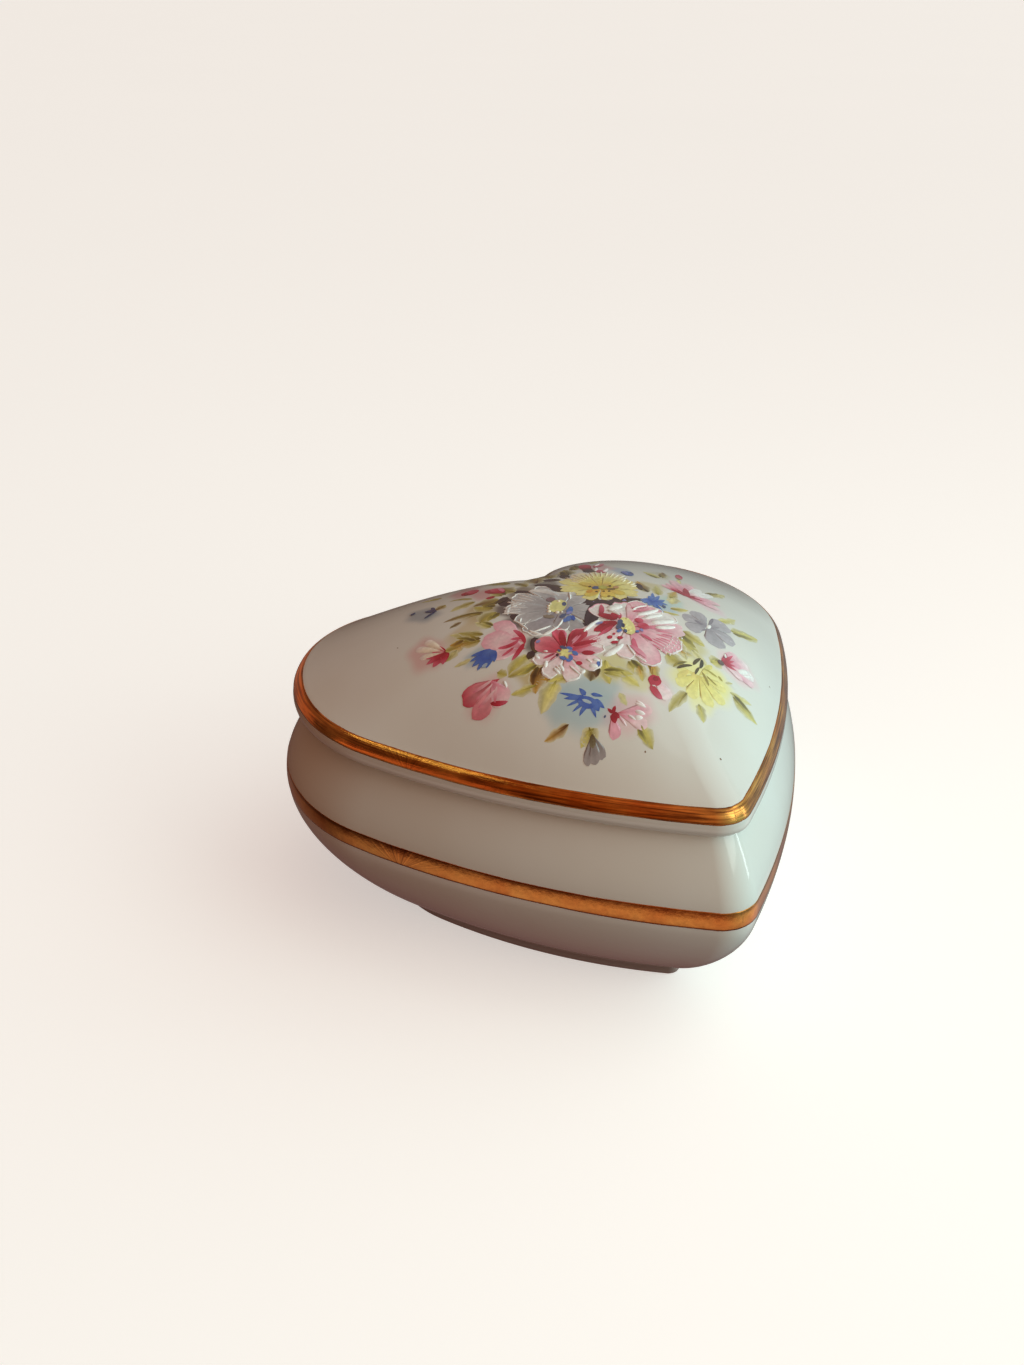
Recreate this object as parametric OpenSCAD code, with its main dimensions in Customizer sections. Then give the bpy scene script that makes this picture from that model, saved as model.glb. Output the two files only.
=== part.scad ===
// Heart-shaped porcelain trinket box: a hollow bowl on an inset foot ring, and a
// domed lid that lifts straight off, located by a flange inside the bowl's mouth.
// Origin: centre of the foot's underside. +Z up, the heart's point towards -Y and
// its lobes towards +Y. Millimetres.

/* [Heart outline] */
// Distance of each lobe's centre from the middle plane
lobe_x = 17.6; // [16.5:0.1:18]
// Radius of the outer side of each lobe
lobe_r = 31.4; // [30:0.1:32]
// Radius of the crown of each lobe, next to the cleft
crown_r = 22.7; // [22.5:0.1:28]
// Angle at which the lobe's side gives way to its crown
crown_angle = 35; // [20:1:50]
// Distance from the lobes' centres down to the centre of the point
point_drop = 55.2; // [50:0.1:60]
// Radius of the rounded point
point_r = 6.1; // [4:0.1:9]
// Radius of the two long, slightly bowed sides
side_r = 148; // [110:1:200]
// Radius of the cleft between the lobes
cleft_r = 5.5; // [5:0.1:8]

/* [Bowl] */
// Height of the bowl up to its mouth
bowl_h = 38.5; // [36:0.5:42]
// How far the belly stands out from the heart outline
belly_out = 1.9; // [1:0.05:3]
// Height of the lower edge of the gilt band
band_z = 23.4; // [21:0.1:25]
// Height of the gilt band
band_h = 3.6; // [2:0.1:4.5]
// How far the foot ring is set in from the heart outline
foot_in = 14.2; // [11:0.1:16]
// Height of the upright side of the foot ring
foot_h = 2.2; // [1:0.1:3]
// Width of the foot ring's flat underside
foot_w = 2.8; // [2:0.1:4]
// How far the mouth's outer edge is set in from the heart outline
mouth_in = 4.2; // [3:0.1:5]
// Width of the bowl's rim across its flat seat
rim_w = 3.1; // [2.5:0.1:4]
// Thickness of the bowl's wall
bowl_wall = 3.2; // [2.5:0.1:4]
// Height of the recess under the foot
recess_h = 1.6; // [0.5:0.1:2]

/* [Lid] */
// Height of the whole closed box
box_h = 58.5; // [54:0.1:62]
// Height of the lid's upright edge, below its gilding
edge_h = 2.65; // [2:0.05:3]
// Height of the gilt line round the lid
gilt_h = 2.25; // [1.5:0.05:3]
// How far the lid's edge is set in from the heart outline
edge_in = 0.65; // [0.2:0.05:1.5]
// How far the dome's foot is set in from the heart outline
dome_in = 2.5; // [2:0.1:4]
// How far the dome stands back towards the lobes
dome_back = 1.4; // [0:0.1:2]
// Thickness of the dome
lid_wall = 3.3; // [2.5:0.1:4]
// Depth of the locating flange below the seat
flange_h = 3.2; // [2:0.1:5]
// Thickness of the locating flange
flange_w = 1.6; // [1.2:0.1:2.5]
// Gap between the flange and the mouth, all round
flange_gap = 0.6; // [0.3:0.1:1]
// Exponent of the dome's plan, larger for a flatter crown
dome_flat = 2.6; // [2:0.01:3]
// Exponent of the dome's side, larger for a softer foot
dome_soft = 1.04; // [1:0.01:1.3]
// Radius of the circle that the dome's plan rounds towards at its crown
dome_round_r = 39.4; // [36:0.1:42]
// Exponent of that rounding, larger for a rounder dome
dome_rounding = 1.8; // [1:0.1:3]
// How far the dome's rings pull in over the heart's point, which softens the ridge there
point_soft = 2.6; // [0:0.1:4]

/* [Decoration] */
// Thickness of the gilding and of the flower transfer, in their shallow recesses
skin_t = 0.25; // [0.15:0.05:0.4]
// Share of the dome's plan that the flower transfer covers
transfer_share = 0.8; // [0.6:0.1:0.9]

/* [Hidden] */

porcelain = [0.90, 0.91, 0.88];
gold = [0.80, 0.48, 0.17];
enamel = [0.86, 0.62, 0.64];

// Most of each inset ring is a scaled copy of the outline, the rest a true offset
scale_share = 0.83;
mean_radius = 45;
crown_centre = [0, 1];
edge_round = 0.5;
dome_rings = 10;
roof_rings = 7;
// Degrees to each side of the point over which the softening fades
point_spread = 9.5;

lobe = [lobe_x, 0];
point = [0, -point_drop];
side = crossing(point, side_r - point_r, lobe, side_r - lobe_r);
crown = lobe + (lobe_r - crown_r) * [cos(crown_angle), sin(crown_angle)];
cleft = [0, crown[1] + sqrt((crown_r + cleft_r)^2 - crown[0]^2)];
middle_y = (crown[1] + crown_r - point_drop - point_r) / 2;

band_top = [belly_out - 0.25, band_z + band_h];
band_bottom = [belly_out, band_z];
mouth_edge = [-mouth_in, bowl_h - edge_round];
mouth_inner = -mouth_in - rim_w;
foot_outer = -foot_in;
foot_inner = -foot_in - foot_w;
floor_z = recess_h + bowl_wall + 0.3;

gilt_z = bowl_h + edge_h;
dome_z = gilt_z + gilt_h;
flange_outer = mouth_inner - flange_gap;
flange_inner = flange_outer - flange_w;
flange_z = bowl_h - flange_h;
roof_edge = [flange_inner - 1, dome_z + 0.6];

// The point where two circles cross, left of the way from a to b
function crossing(a, radius_a, b, radius_b) =
    let (
        span = norm(b - a),
        along = (span^2 + radius_a^2 - radius_b^2) / (2 * span),
        aside = sqrt(radius_a^2 - along^2),
        ahead = (b - a) / span
    )
    a + along * ahead + aside * [-ahead[1], ahead[0]];

function heading(v) = atan2(v[1], v[0]);

// Points of an arc, each with its outward normal, without the last point
function arc(centre, radius, from, to, steps, facing = 1) = [
    for (i = [0:steps - 1])
        let (angle = from + (to - from) * i / steps, ray = [cos(angle), sin(angle)])
        [centre + radius * ray, facing * ray]
];

// Right half of the heart, from the point round to the cleft
half = concat(
    arc(point, point_r, -90, heading(point - side), 4),
    arc(side, side_r, heading(point - side), heading(lobe - side), 6),
    arc(lobe, lobe_r, heading(lobe - side), crown_angle, 7),
    arc(crown, crown_r, crown_angle, heading(cleft - crown), 12),
    arc(cleft, cleft_r, heading(crown - cleft), -90, 4, -1),
    [[cleft - [0, cleft_r], [0, 1]]]
);

// The whole heart, anticlockwise, centred on its own length and width
outline = concat(
    [for (p = half) [p[0] - [0, middle_y], p[1]]],
    [for (i = [len(half) - 2:-1:1]) [
        [-half[i][0][0], half[i][0][1] - middle_y],
        [-half[i][1][0], half[i][1][1]]
    ]]
);
sides = len(outline);

// A cubic curve through a and d, drawn towards b and c, without its first point
function curve(a, b, c, d, steps) = [
    for (i = [1:steps])
        let (t = i / steps, u = 1 - t)
        u^3 * a + 3 * u^2 * t * b + 3 * u * t^2 * c + t^3 * d
];

// A station is [distance out from the outline, height, plan scale, shift back]
function upright(profile, back = 0) = [for (p = profile) [p[0], p[1], 1, back]];

// Stations of a dome that rises from its edge to the given height, edge first
function dome(edge, top, rings, back = 0) = [
    for (i = [rings:-1:1])
        let (s = i / rings)
        [edge[0], edge[1] + (top - edge[1]) * (1 - s^dome_flat)^dome_soft, s, back]
];

function backwards(list) = [for (i = [len(list) - 1:-1:0]) list[i]];
function shifted(profile, step) = [for (p = profile) p + step];
function lowered(stations, drop) = [for (s = stations) s - [0, drop, 0, 0]];

// One ring of the heart at a station
function ring(station) = [
    for (o = outline)
        let (
            out = station[0],
            edge = o[0] * (1 + scale_share * out / mean_radius) + (1 - scale_share) * out * o[1],
            spoke = edge - crown_centre,
            off_point = (heading(spoke) + 90) / point_spread,
            softening = point_soft * (1 - station[2]^8) * exp(-off_point^2),
            rounding = 1 - station[2]^dome_rounding,
            reach = (norm(spoke) - softening) * (1 - rounding) + dome_round_r * rounding,
            plan = crown_centre + spoke / norm(spoke) * reach * station[2]
        )
        [plan[0], plan[1] + station[3], station[1]]
];

// Two triangles for each side between ring a and ring b. The diagonal always starts
// on the lower ring, so that two solids which touch along a bed share its triangles.
function wall_faces(a, b, falling) = [
    for (j = [0:sides - 1])
        let (k = (j + 1) % sides)
        each falling
            ? [
                [a * sides + j, b * sides + j, a * sides + k],
                [a * sides + k, b * sides + j, b * sides + k]
            ]
            : [
                [a * sides + j, b * sides + j, b * sides + k],
                [a * sides + j, b * sides + k, a * sides + k]
            ]
];

// Faces between station i and station next
function station_faces(stations, i, next) =
    wall_faces(i, next, stations[next][1] < stations[i][1]);

// A solid from the centre of its underside, out and up through the stations,
// and in again to the centre of its upper side
module shell(stations, start_z, end_z, start_back = 0, end_back = 0) {
    rings = len(stations);
    first = rings * sides;
    last = first + 1;
    start = [crown_centre[0], crown_centre[1] + start_back, start_z];
    end = [crown_centre[0], crown_centre[1] + end_back, end_z];
    polyhedron(
        points = concat(
            [for (s = stations) each ring(s)],
            [start, end]
        ),
        faces = concat(
            [for (j = [0:sides - 1]) [first, j, (j + 1) % sides]],
            [for (i = [0:rings - 2]) each station_faces(stations, i, i + 1)],
            [for (j = [0:sides - 1]) [
                last,
                (rings - 1) * sides + (j + 1) % sides,
                (rings - 1) * sides + j
            ]]
        ),
        convexity = 6
    );
}

// A closed hoop round the heart
module hoop(stations) {
    rings = len(stations);
    polyhedron(
        points = [for (s = stations) each ring(s)],
        faces = [for (i = [0:rings - 1]) each station_faces(stations, i, (i + 1) % rings)],
        convexity = 6
    );
}

// The gilt band lies on the belly's crest
band_profile = concat(
    [band_bottom],
    curve(band_bottom, band_bottom + [0.1, 1.2], band_top + [0.2, -1.2], band_top, 2)
);
band_bed = shifted(band_profile, [-skin_t, 0]);

// The lid's gilt line wraps the rounded edge below the dome
gilt_bottom = [-edge_in - 0.15, gilt_z];
gilt_top = [-dome_in, dome_z];
gilt_profile = concat(
    [gilt_bottom],
    curve(gilt_bottom, gilt_bottom + [-0.3, 0.95], gilt_top + [0.8, -0.55], gilt_top, 3)
);
gilt_bed = shifted(gilt_profile, skin_t * [-cos(35), -sin(35)]);

dome_stations = dome(gilt_top, box_h, dome_rings, dome_back);
transfer_stations = [for (s = dome_stations) if (s[2] <= transfer_share + 0.01) s];
bare_stations = [for (s = dome_stations) if (s[2] >= transfer_share - 0.01) s];

module base_bowl() {
    color(porcelain)
        shell(
            upright(concat(
                // underside and foot ring
                [
                    [foot_inner - 1.2, recess_h],
                    [foot_inner, 0.3],
                    [foot_inner + 0.3, 0],
                    [foot_outer - edge_round, 0],
                    [foot_outer, edge_round],
                    [foot_outer, foot_h]
                ],
                // belly, up to the gilt band
                curve([foot_outer, foot_h], [foot_outer + 4.1, foot_h + 2.4],
                    [belly_out - 0.1, band_z - 8.4], band_bottom, 7),
                band_bed,
                [band_top],
                // shoulder, and the flat seat round the mouth
                curve(band_top, band_top + [-0.7, 3.2], mouth_edge + [2.4, -3.6], mouth_edge, 4),
                [
                    [-mouth_in - edge_round, bowl_h],
                    [mouth_inner + edge_round, bowl_h],
                    [mouth_inner, bowl_h - edge_round]
                ],
                // inside of the wall, down to the floor
                curve([mouth_inner, bowl_h - edge_round], [mouth_inner + 2.4, bowl_h - 4.5],
                    [belly_out - bowl_wall, band_z + 6], [belly_out - bowl_wall, band_z + 1], 4),
                curve([belly_out - bowl_wall, band_z + 1], [belly_out - bowl_wall, band_z - 8],
                    [foot_outer + 4.5, floor_z + 2.5], [foot_outer - 1.5, floor_z + 0.4], 5),
                [[foot_outer - 5, floor_z]]
            )),
            recess_h,
            floor_z
        );
}

module base_gilt_band() {
    color(gold)
        hoop(upright(concat(band_profile, backwards(band_bed))));
}

module lid_shell() {
    color(porcelain)
        shell(
            concat(
                backwards(dome(roof_edge, box_h - lid_wall, roof_rings)),
                // locating flange and flat seat
                upright([
                    [flange_inner - 0.1, dome_z - 1.6],
                    [flange_inner, flange_z + edge_round],
                    [flange_inner + edge_round, flange_z],
                    [flange_outer - edge_round, flange_z],
                    [flange_outer, flange_z + edge_round],
                    [flange_outer, bowl_h]
                ]),
                // overhanging edge, gilding bed and dome
                upright(
                    concat(
                        [
                            [-edge_in - 1.2, bowl_h],
                            [-edge_in - 0.55, bowl_h + 0.2],
                            [-edge_in - 0.15, bowl_h + 0.65],
                            [-edge_in, bowl_h + 1.5],
                            gilt_bottom
                        ],
                        gilt_bed
                    ),
                    dome_back
                ),
                bare_stations,
                lowered(transfer_stations, skin_t)
            ),
            box_h - lid_wall,
            box_h - skin_t,
            0,
            dome_back
        );
}

module lid_gilt_rim() {
    color(gold)
        hoop(upright(concat(gilt_profile, backwards(gilt_bed)), dome_back));
}

module lid_flower_transfer() {
    color(enamel)
        shell(
            concat(backwards(lowered(transfer_stations, skin_t)), transfer_stations),
            box_h - skin_t,
            box_h,
            dome_back,
            dome_back
        );
}

base_bowl();
base_gilt_band();
lid_shell();
lid_gilt_rim();
lid_flower_transfer();
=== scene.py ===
"""A heart-shaped porcelain trinket box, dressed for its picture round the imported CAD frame.

The porcelain, the gilding and the painted flowers are modelled here from the same heart
outline and profiles as the CAD, and tied to the CAD nodes' own boxes. Lengths are in the
CAD's millimetres until a mesh is made, when MM turns them into metres.
"""

import math

import bpy
import numpy as np
from mathutils import Matrix, Vector


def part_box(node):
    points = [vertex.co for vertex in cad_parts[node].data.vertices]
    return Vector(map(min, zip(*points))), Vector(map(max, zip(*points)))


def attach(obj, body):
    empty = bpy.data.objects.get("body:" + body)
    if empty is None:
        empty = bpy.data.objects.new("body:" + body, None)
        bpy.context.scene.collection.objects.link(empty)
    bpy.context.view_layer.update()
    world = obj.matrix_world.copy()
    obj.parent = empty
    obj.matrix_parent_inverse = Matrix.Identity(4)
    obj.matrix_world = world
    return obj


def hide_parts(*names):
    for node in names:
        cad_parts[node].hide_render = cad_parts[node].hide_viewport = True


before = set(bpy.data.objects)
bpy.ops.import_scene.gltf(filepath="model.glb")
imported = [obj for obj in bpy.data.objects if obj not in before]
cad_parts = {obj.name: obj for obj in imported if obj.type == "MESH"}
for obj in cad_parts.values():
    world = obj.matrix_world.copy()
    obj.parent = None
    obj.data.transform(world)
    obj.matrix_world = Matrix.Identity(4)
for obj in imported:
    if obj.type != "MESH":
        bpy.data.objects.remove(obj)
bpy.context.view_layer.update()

# ------------------------------------------------------------------ heart outline

# Heart outline: where each lobe's centre is, the radius of its side and of its crown and the angle where
# the one gives way to the other, how far down the point is, and the radii of the point, sides and cleft
LOBE_X = 17.6
LOBE_R = 31.4
CROWN_R = 22.7
CROWN_ANGLE = 35.0
POINT_DROP = 55.2
POINT_R = 6.1
SIDE_R = 148.0
CLEFT_R = 5.5

# Bowl: how far the belly stands out from the outline, the foot ring's inset, height and width, the mouth's
# inset, the rim's width, the wall, and the height of the recess under the foot
BELLY_OUT = 1.9
FOOT_IN = 14.2
FOOT_H = 2.2
FOOT_W = 2.8
MOUTH_IN = 4.2
RIM_W = 3.1
BOWL_WALL = 3.2
RECESS_H = 1.6

# Lid: the insets of its edge and of its dome's foot, how far the dome stands back towards the lobes, its
# wall, and the locating flange's depth, thickness and gap
EDGE_IN = 0.65
DOME_IN = 2.5
DOME_BACK = 1.4
LID_WALL = 3.3
FLANGE_H = 3.2
FLANGE_W = 1.6
FLANGE_GAP = 0.6

# Dome: the exponents of its plan and its side, the circle that its plan rounds towards and how soon, and how
# far its rings pull in over the heart's point, and over how many degrees
DOME_FLAT = 2.6
DOME_SOFT = 1.04
DOME_ROUND_R = 39.4
DOME_ROUNDING = 1.8
POINT_SOFT = 2.6
POINT_SPREAD = 9.5

# Most of each inset ring is a scaled copy of the outline, the rest a true offset
EDGE_ROUND = 0.5
SCALE_SHARE = 0.83
MEAN_RADIUS = 45.0
CENTRE = np.array([0.0, 1.0])


def unit(angle):
    """Unit vectors at angles in degrees"""
    radians = np.radians(angle)
    return np.stack([np.cos(radians), np.sin(radians)], axis=-1)


def heading(vector):
    return math.degrees(math.atan2(vector[1], vector[0]))


def crossing(a, radius_a, b, radius_b):
    """The point where two circles cross, left of the way from a to b"""
    span = np.linalg.norm(b - a)
    along = (span**2 + radius_a**2 - radius_b**2) / (2 * span)
    aside = math.sqrt(radius_a**2 - along**2)
    ahead = (b - a) / span
    return a + along * ahead + aside * np.array([-ahead[1], ahead[0]])


def arc(centre, radius, start, end, steps, facing=1):
    """Rows of x, y and the outward normal along an arc, without its last point"""
    rays = unit(start + (end - start) * np.arange(steps) / steps)
    return np.hstack([centre + radius * rays, facing * rays])


def heart():
    """The whole outline and its normals, anticlockwise from the point"""
    lobe = np.array([LOBE_X, 0.0])
    point = np.array([0.0, -POINT_DROP])
    side = crossing(point, SIDE_R - POINT_R, lobe, SIDE_R - LOBE_R)
    crown = lobe + (LOBE_R - CROWN_R) * unit(CROWN_ANGLE)
    cleft = np.array([0.0, crown[1] + math.sqrt((CROWN_R + CLEFT_R) ** 2 - crown[0] ** 2)])
    half = np.vstack([
        arc(point, POINT_R, -90, heading(point - side), 16),
        arc(side, SIDE_R, heading(point - side), heading(lobe - side), 56),
        arc(lobe, LOBE_R, heading(lobe - side), CROWN_ANGLE, 40),
        arc(crown, CROWN_R, CROWN_ANGLE, heading(cleft - crown), 64),
        arc(cleft, CLEFT_R, heading(crown - cleft), -90, 20, facing=-1),
        [[cleft[0], cleft[1] - CLEFT_R, 0, 1]],
    ])
    half[:, 1] -= (crown[1] + CROWN_R - POINT_DROP - POINT_R) / 2
    mirrored = half[-2:0:-1] * [-1, 1, -1, 1]
    whole = np.vstack([half, mirrored])
    return whole[:, :2], whole[:, 2:]


OUTLINE, NORMALS = heart()
COLUMNS = len(OUTLINE)
BELLY_HALF_WIDTH = ((1 + SCALE_SHARE * BELLY_OUT / MEAN_RADIUS) * OUTLINE
                    + (1 - SCALE_SHARE) * BELLY_OUT * NORMALS)[:, 0].max()
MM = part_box("base_gilt_band")[1].x / BELLY_HALF_WIDTH

BOWL_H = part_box("base_bowl")[1].z / MM
BAND_LOW, BAND_HIGH = (corner.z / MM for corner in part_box("base_gilt_band"))
GILT_LOW, DOME_FOOT = (corner.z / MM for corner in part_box("lid_gilt_rim"))
BOX_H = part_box("lid_flower_transfer")[1].z / MM


def point_softening(spoke_angle, share):
    """How far a ring of the dome pulls in over the heart's point, for a spoke's angle in degrees"""
    off_point = (spoke_angle + 90) / POINT_SPREAD
    return POINT_SOFT * (1 - share**8) * np.exp(-off_point**2)


def ring(out, height, share=1.0, back=0.0):
    """One ring of the heart, moved out from the outline, shrunk to a share of its plan and set back"""
    out = np.broadcast_to(out, COLUMNS)[:, None]
    edge = OUTLINE * (1 + SCALE_SHARE * out / MEAN_RADIUS) + (1 - SCALE_SHARE) * out * NORMALS
    spoke = edge - CENTRE
    length = np.linalg.norm(spoke, axis=1, keepdims=True)
    softening = point_softening(np.degrees(np.arctan2(spoke[:, 1], spoke[:, 0])), share)[:, None]
    rounding = 1 - share**DOME_ROUNDING
    reach = (length - softening) * (1 - rounding) + DOME_ROUND_R * rounding
    plan = CENTRE + spoke / length * reach * share + [0, back]
    return np.column_stack([plan, np.broadcast_to(height, COLUMNS)])


# ------------------------------------------------------------------ profiles

BAND_BOTTOM = np.array([BELLY_OUT, BAND_LOW])
BAND_TOP = np.array([BELLY_OUT - 0.25, BAND_HIGH])
BAND_CURVE = (BAND_BOTTOM, BAND_BOTTOM + [0.1, 1.2], BAND_TOP + [0.2, -1.2], BAND_TOP)

GILT_BOTTOM = np.array([-EDGE_IN - 0.15, GILT_LOW])
GILT_TOP = np.array([-DOME_IN, DOME_FOOT])
GILT_CURVE = (GILT_BOTTOM, GILT_BOTTOM + [-0.3, 0.95], GILT_TOP + [0.8, -0.55], GILT_TOP)


def bezier(control, t):
    a, b, c, d = control
    t = np.asarray(t, float)[..., None]
    return (1 - t) ** 3 * a + 3 * (1 - t) ** 2 * t * b + 3 * (1 - t) * t**2 * c + t**3 * d


def curve(control, steps):
    """Points of a cubic curve without its first one"""
    control = [np.asarray(p, float) for p in control]
    return bezier(control, np.arange(1, steps + 1) / steps)


def softened(profile):
    """The profile with each corner cut once"""
    starts, ends = profile[:-1], profile[1:]
    cut = np.stack([0.75 * starts + 0.25 * ends, 0.25 * starts + 0.75 * ends], axis=1)
    return np.vstack([profile[:1], cut.reshape(-1, profile.shape[1]), profile[-1:]])


def bowl_profile():
    """Distance from the outline and height, from the recess under the foot, out, up and in to the floor"""
    foot_outer = -FOOT_IN
    foot_inner = foot_outer - FOOT_W
    mouth_edge = np.array([-MOUTH_IN, BOWL_H - EDGE_ROUND])
    mouth_inner = -MOUTH_IN - RIM_W
    inner_wall = BELLY_OUT - BOWL_WALL
    floor_z = RECESS_H + BOWL_WALL + 0.3
    belly = ([foot_outer, FOOT_H], [foot_outer + 4.1, FOOT_H + 2.4],
             [BELLY_OUT - 0.1, BAND_LOW - 8.4], BAND_BOTTOM)
    shoulder = (BAND_TOP, BAND_TOP + [-0.7, 3.2], mouth_edge + [2.4, -3.6], mouth_edge)
    upper_inside = ([mouth_inner, BOWL_H - EDGE_ROUND], [mouth_inner + 2.4, BOWL_H - 4.5],
                    [inner_wall, BAND_LOW + 6], [inner_wall, BAND_LOW + 1])
    lower_inside = ([inner_wall, BAND_LOW + 1], [inner_wall, BAND_LOW - 8],
                    [foot_outer + 4.5, floor_z + 2.5], [foot_outer - 1.5, floor_z + 0.4])
    return softened(np.vstack([
        [[foot_inner - 14, RECESS_H], [foot_inner - 1.2, RECESS_H], [foot_inner, 0.3],
         [foot_inner + 0.3, 0], [foot_outer - EDGE_ROUND, 0], [foot_outer, EDGE_ROUND],
         [foot_outer, FOOT_H]],
        curve(belly, 18),
        curve(BAND_CURVE, 4),
        curve(shoulder, 12),
        [[-MOUTH_IN - EDGE_ROUND, BOWL_H], [mouth_inner + EDGE_ROUND, BOWL_H],
         [mouth_inner, BOWL_H - EDGE_ROUND]],
        curve(upper_inside, 8),
        curve(lower_inside, 12),
        [[foot_outer - 5, floor_z], [foot_outer - 14, floor_z]],
    ]))


def lid_seat_profile():
    """The lid's underside from its roof's edge out to the overhang, then up to the gilding"""
    flange_outer = -MOUTH_IN - RIM_W - FLANGE_GAP
    flange_inner = flange_outer - FLANGE_W
    flange_z = BOWL_H - FLANGE_H
    inside = [
        [flange_inner - 0.1, DOME_FOOT - 1.6], [flange_inner, flange_z + EDGE_ROUND],
        [flange_inner + EDGE_ROUND, flange_z], [flange_outer - EDGE_ROUND, flange_z],
        [flange_outer, flange_z + EDGE_ROUND], [flange_outer, BOWL_H],
    ]
    overhang = [
        [-EDGE_IN - 1.2, BOWL_H], [-EDGE_IN - 0.55, BOWL_H + 0.2],
        [-EDGE_IN - 0.15, BOWL_H + 0.65], [-EDGE_IN, BOWL_H + 1.5], GILT_BOTTOM,
    ]
    backs = np.vstack([np.zeros((len(inside), 1)), np.full((len(overhang) + 6, 1), DOME_BACK)])
    profile = np.vstack([inside, overhang, curve(GILT_CURVE, 6)])
    return softened(np.hstack([profile, backs]))


def dome_rise(share):
    return (1 - np.minimum(share, 1) ** DOME_FLAT) ** DOME_SOFT


# ------------------------------------------------------------------ height of the dome over the plan

APEX = CENTRE + [0, DOME_BACK]
RIM = ring(-DOME_IN, DOME_FOOT, back=DOME_BACK)[:, :2] - APEX
RIM_ANGLE = np.arctan2(RIM[:, 1], RIM[:, 0])
RIM_ORDER = np.argsort(RIM_ANGLE)


def dome_height(x, y):
    """Height of the dome's surface over points of its plan"""
    right, ahead = x - APEX[0], y - APEX[1]
    distance = np.hypot(right, ahead)
    angle = np.arctan2(ahead, right)
    rim = np.interp(angle, RIM_ANGLE[RIM_ORDER], np.hypot(*RIM.T)[RIM_ORDER], period=2 * math.pi)
    low, high = np.zeros_like(distance), np.ones_like(distance)
    for _ in range(26):
        share = (low + high) / 2
        length = rim - point_softening(np.degrees(angle), share)
        reached = share * (length * share**DOME_ROUNDING + DOME_ROUND_R * (1 - share**DOME_ROUNDING))
        inside = reached < distance
        low = np.where(inside, share, low)
        high = np.where(inside, high, share)
    return DOME_FOOT + (BOX_H - DOME_FOOT) * dome_rise((low + high) / 2)


def on_dome(x, y, lift):
    """Points over the plan positions, lifted off the dome along its normal"""
    step = 0.05
    slope_x = (dome_height(x + step, y) - dome_height(x - step, y)) / (2 * step)
    slope_y = (dome_height(x, y + step) - dome_height(x, y - step)) / (2 * step)
    normal = np.stack([-slope_x, -slope_y, np.ones_like(slope_x)], axis=-1)
    normal /= np.linalg.norm(normal, axis=-1, keepdims=True)
    return np.stack([x, y, dome_height(x, y)], axis=-1) + normal * np.asarray(lift)[..., None]


# ------------------------------------------------------------------ mesh making

def add_piece(name, points, faces, body, slot, material, *nodes):
    """A smooth-shaded mesh of points in millimetres that rides on a body and stands for CAD nodes"""
    mesh = bpy.data.meshes.new(name)
    mesh.from_pydata((np.asarray(points) * MM).tolist(), [], faces)
    mesh.polygons.foreach_set("use_smooth", [True] * len(mesh.polygons))
    mesh.materials.append(material)
    piece = bpy.data.objects.new(name, mesh)
    bpy.context.scene.collection.objects.link(piece)
    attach(piece, body)
    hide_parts(*nodes)
    return piece


def tube_faces(rings, columns, closed):
    """Quads between neighbouring rings of a grid whose rings close on themselves"""
    faces = []
    for i in range(rings if closed else rings - 1):
        here, there = i * columns, (i + 1) % rings * columns
        for j in range(columns):
            k = (j + 1) % columns
            faces.append((here + k, there + k, there + j, here + j))
    return faces


def capped_shell(rings, start, end):
    """Points and faces of a shell whose first and last rings run in to the points start and end"""
    points = np.vstack([*rings, [start], [end]])
    faces = tube_faces(len(rings), COLUMNS, closed=False)
    first, last = len(points) - 2, len(points) - 1
    top = (len(rings) - 1) * COLUMNS
    for j in range(COLUMNS):
        k = (j + 1) % COLUMNS
        faces.append((first, k, j))
        faces.append((last, top + j, top + k))
    return points, faces


def paint(piece, name, colours):
    """Stores a linear RGBA colour at each vertex"""
    layer = piece.data.color_attributes.new(name, "FLOAT_COLOR", "POINT")
    layer.data.foreach_set("color", np.asarray(colours, np.float32).ravel())


def mark_vertices(piece, name, values):
    """Stores a number at each vertex"""
    layer = piece.data.attributes.new(name, "FLOAT", "POINT")
    layer.data.foreach_set("value", np.asarray(values, np.float32).ravel())


# ------------------------------------------------------------------ materials

def new_material(name):
    """A node material, its tree and its shader"""
    material = bpy.data.materials.new(name)
    material.use_nodes = True
    tree = material.node_tree
    return material, tree, tree.nodes["Principled BSDF"]


def add_node(tree, kind, inputs=None, **settings):
    node = tree.nodes.new(kind)
    for key, value in settings.items():
        setattr(node, key, value)
    for key, value in (inputs or {}).items():
        if isinstance(value, bpy.types.NodeSocket):
            tree.links.new(value, node.inputs[key])
        else:
            node.inputs[key].default_value = value
    return node


def noise(tree, vector, scale, detail=2.0, roughness=0.5):
    """The value of a noise texture over a vector"""
    inputs = {"Vector": vector, "Scale": scale, "Detail": detail, "Roughness": roughness}
    return add_node(tree, "ShaderNodeTexNoise", inputs).outputs["Fac"]


def spread(tree, value, low, high, middle=0.2):
    """Stretches the middle of a noise to run from low to high"""
    inputs = {"Value": value, "From Min": 0.5 - middle, "From Max": 0.5 + middle,
              "To Min": low, "To Max": high}
    return add_node(tree, "ShaderNodeMapRange", inputs).outputs["Result"]


def blend_colours(tree, factor, a, b):
    node = add_node(tree, "ShaderNodeMix", data_type="RGBA")
    for socket, value in ((node.inputs["Factor"], factor), (node.inputs["A"], a), (node.inputs["B"], b)):
        if isinstance(value, bpy.types.NodeSocket):
            tree.links.new(value, socket)
        else:
            socket.default_value = value
    return node.outputs["Result"]


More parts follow.
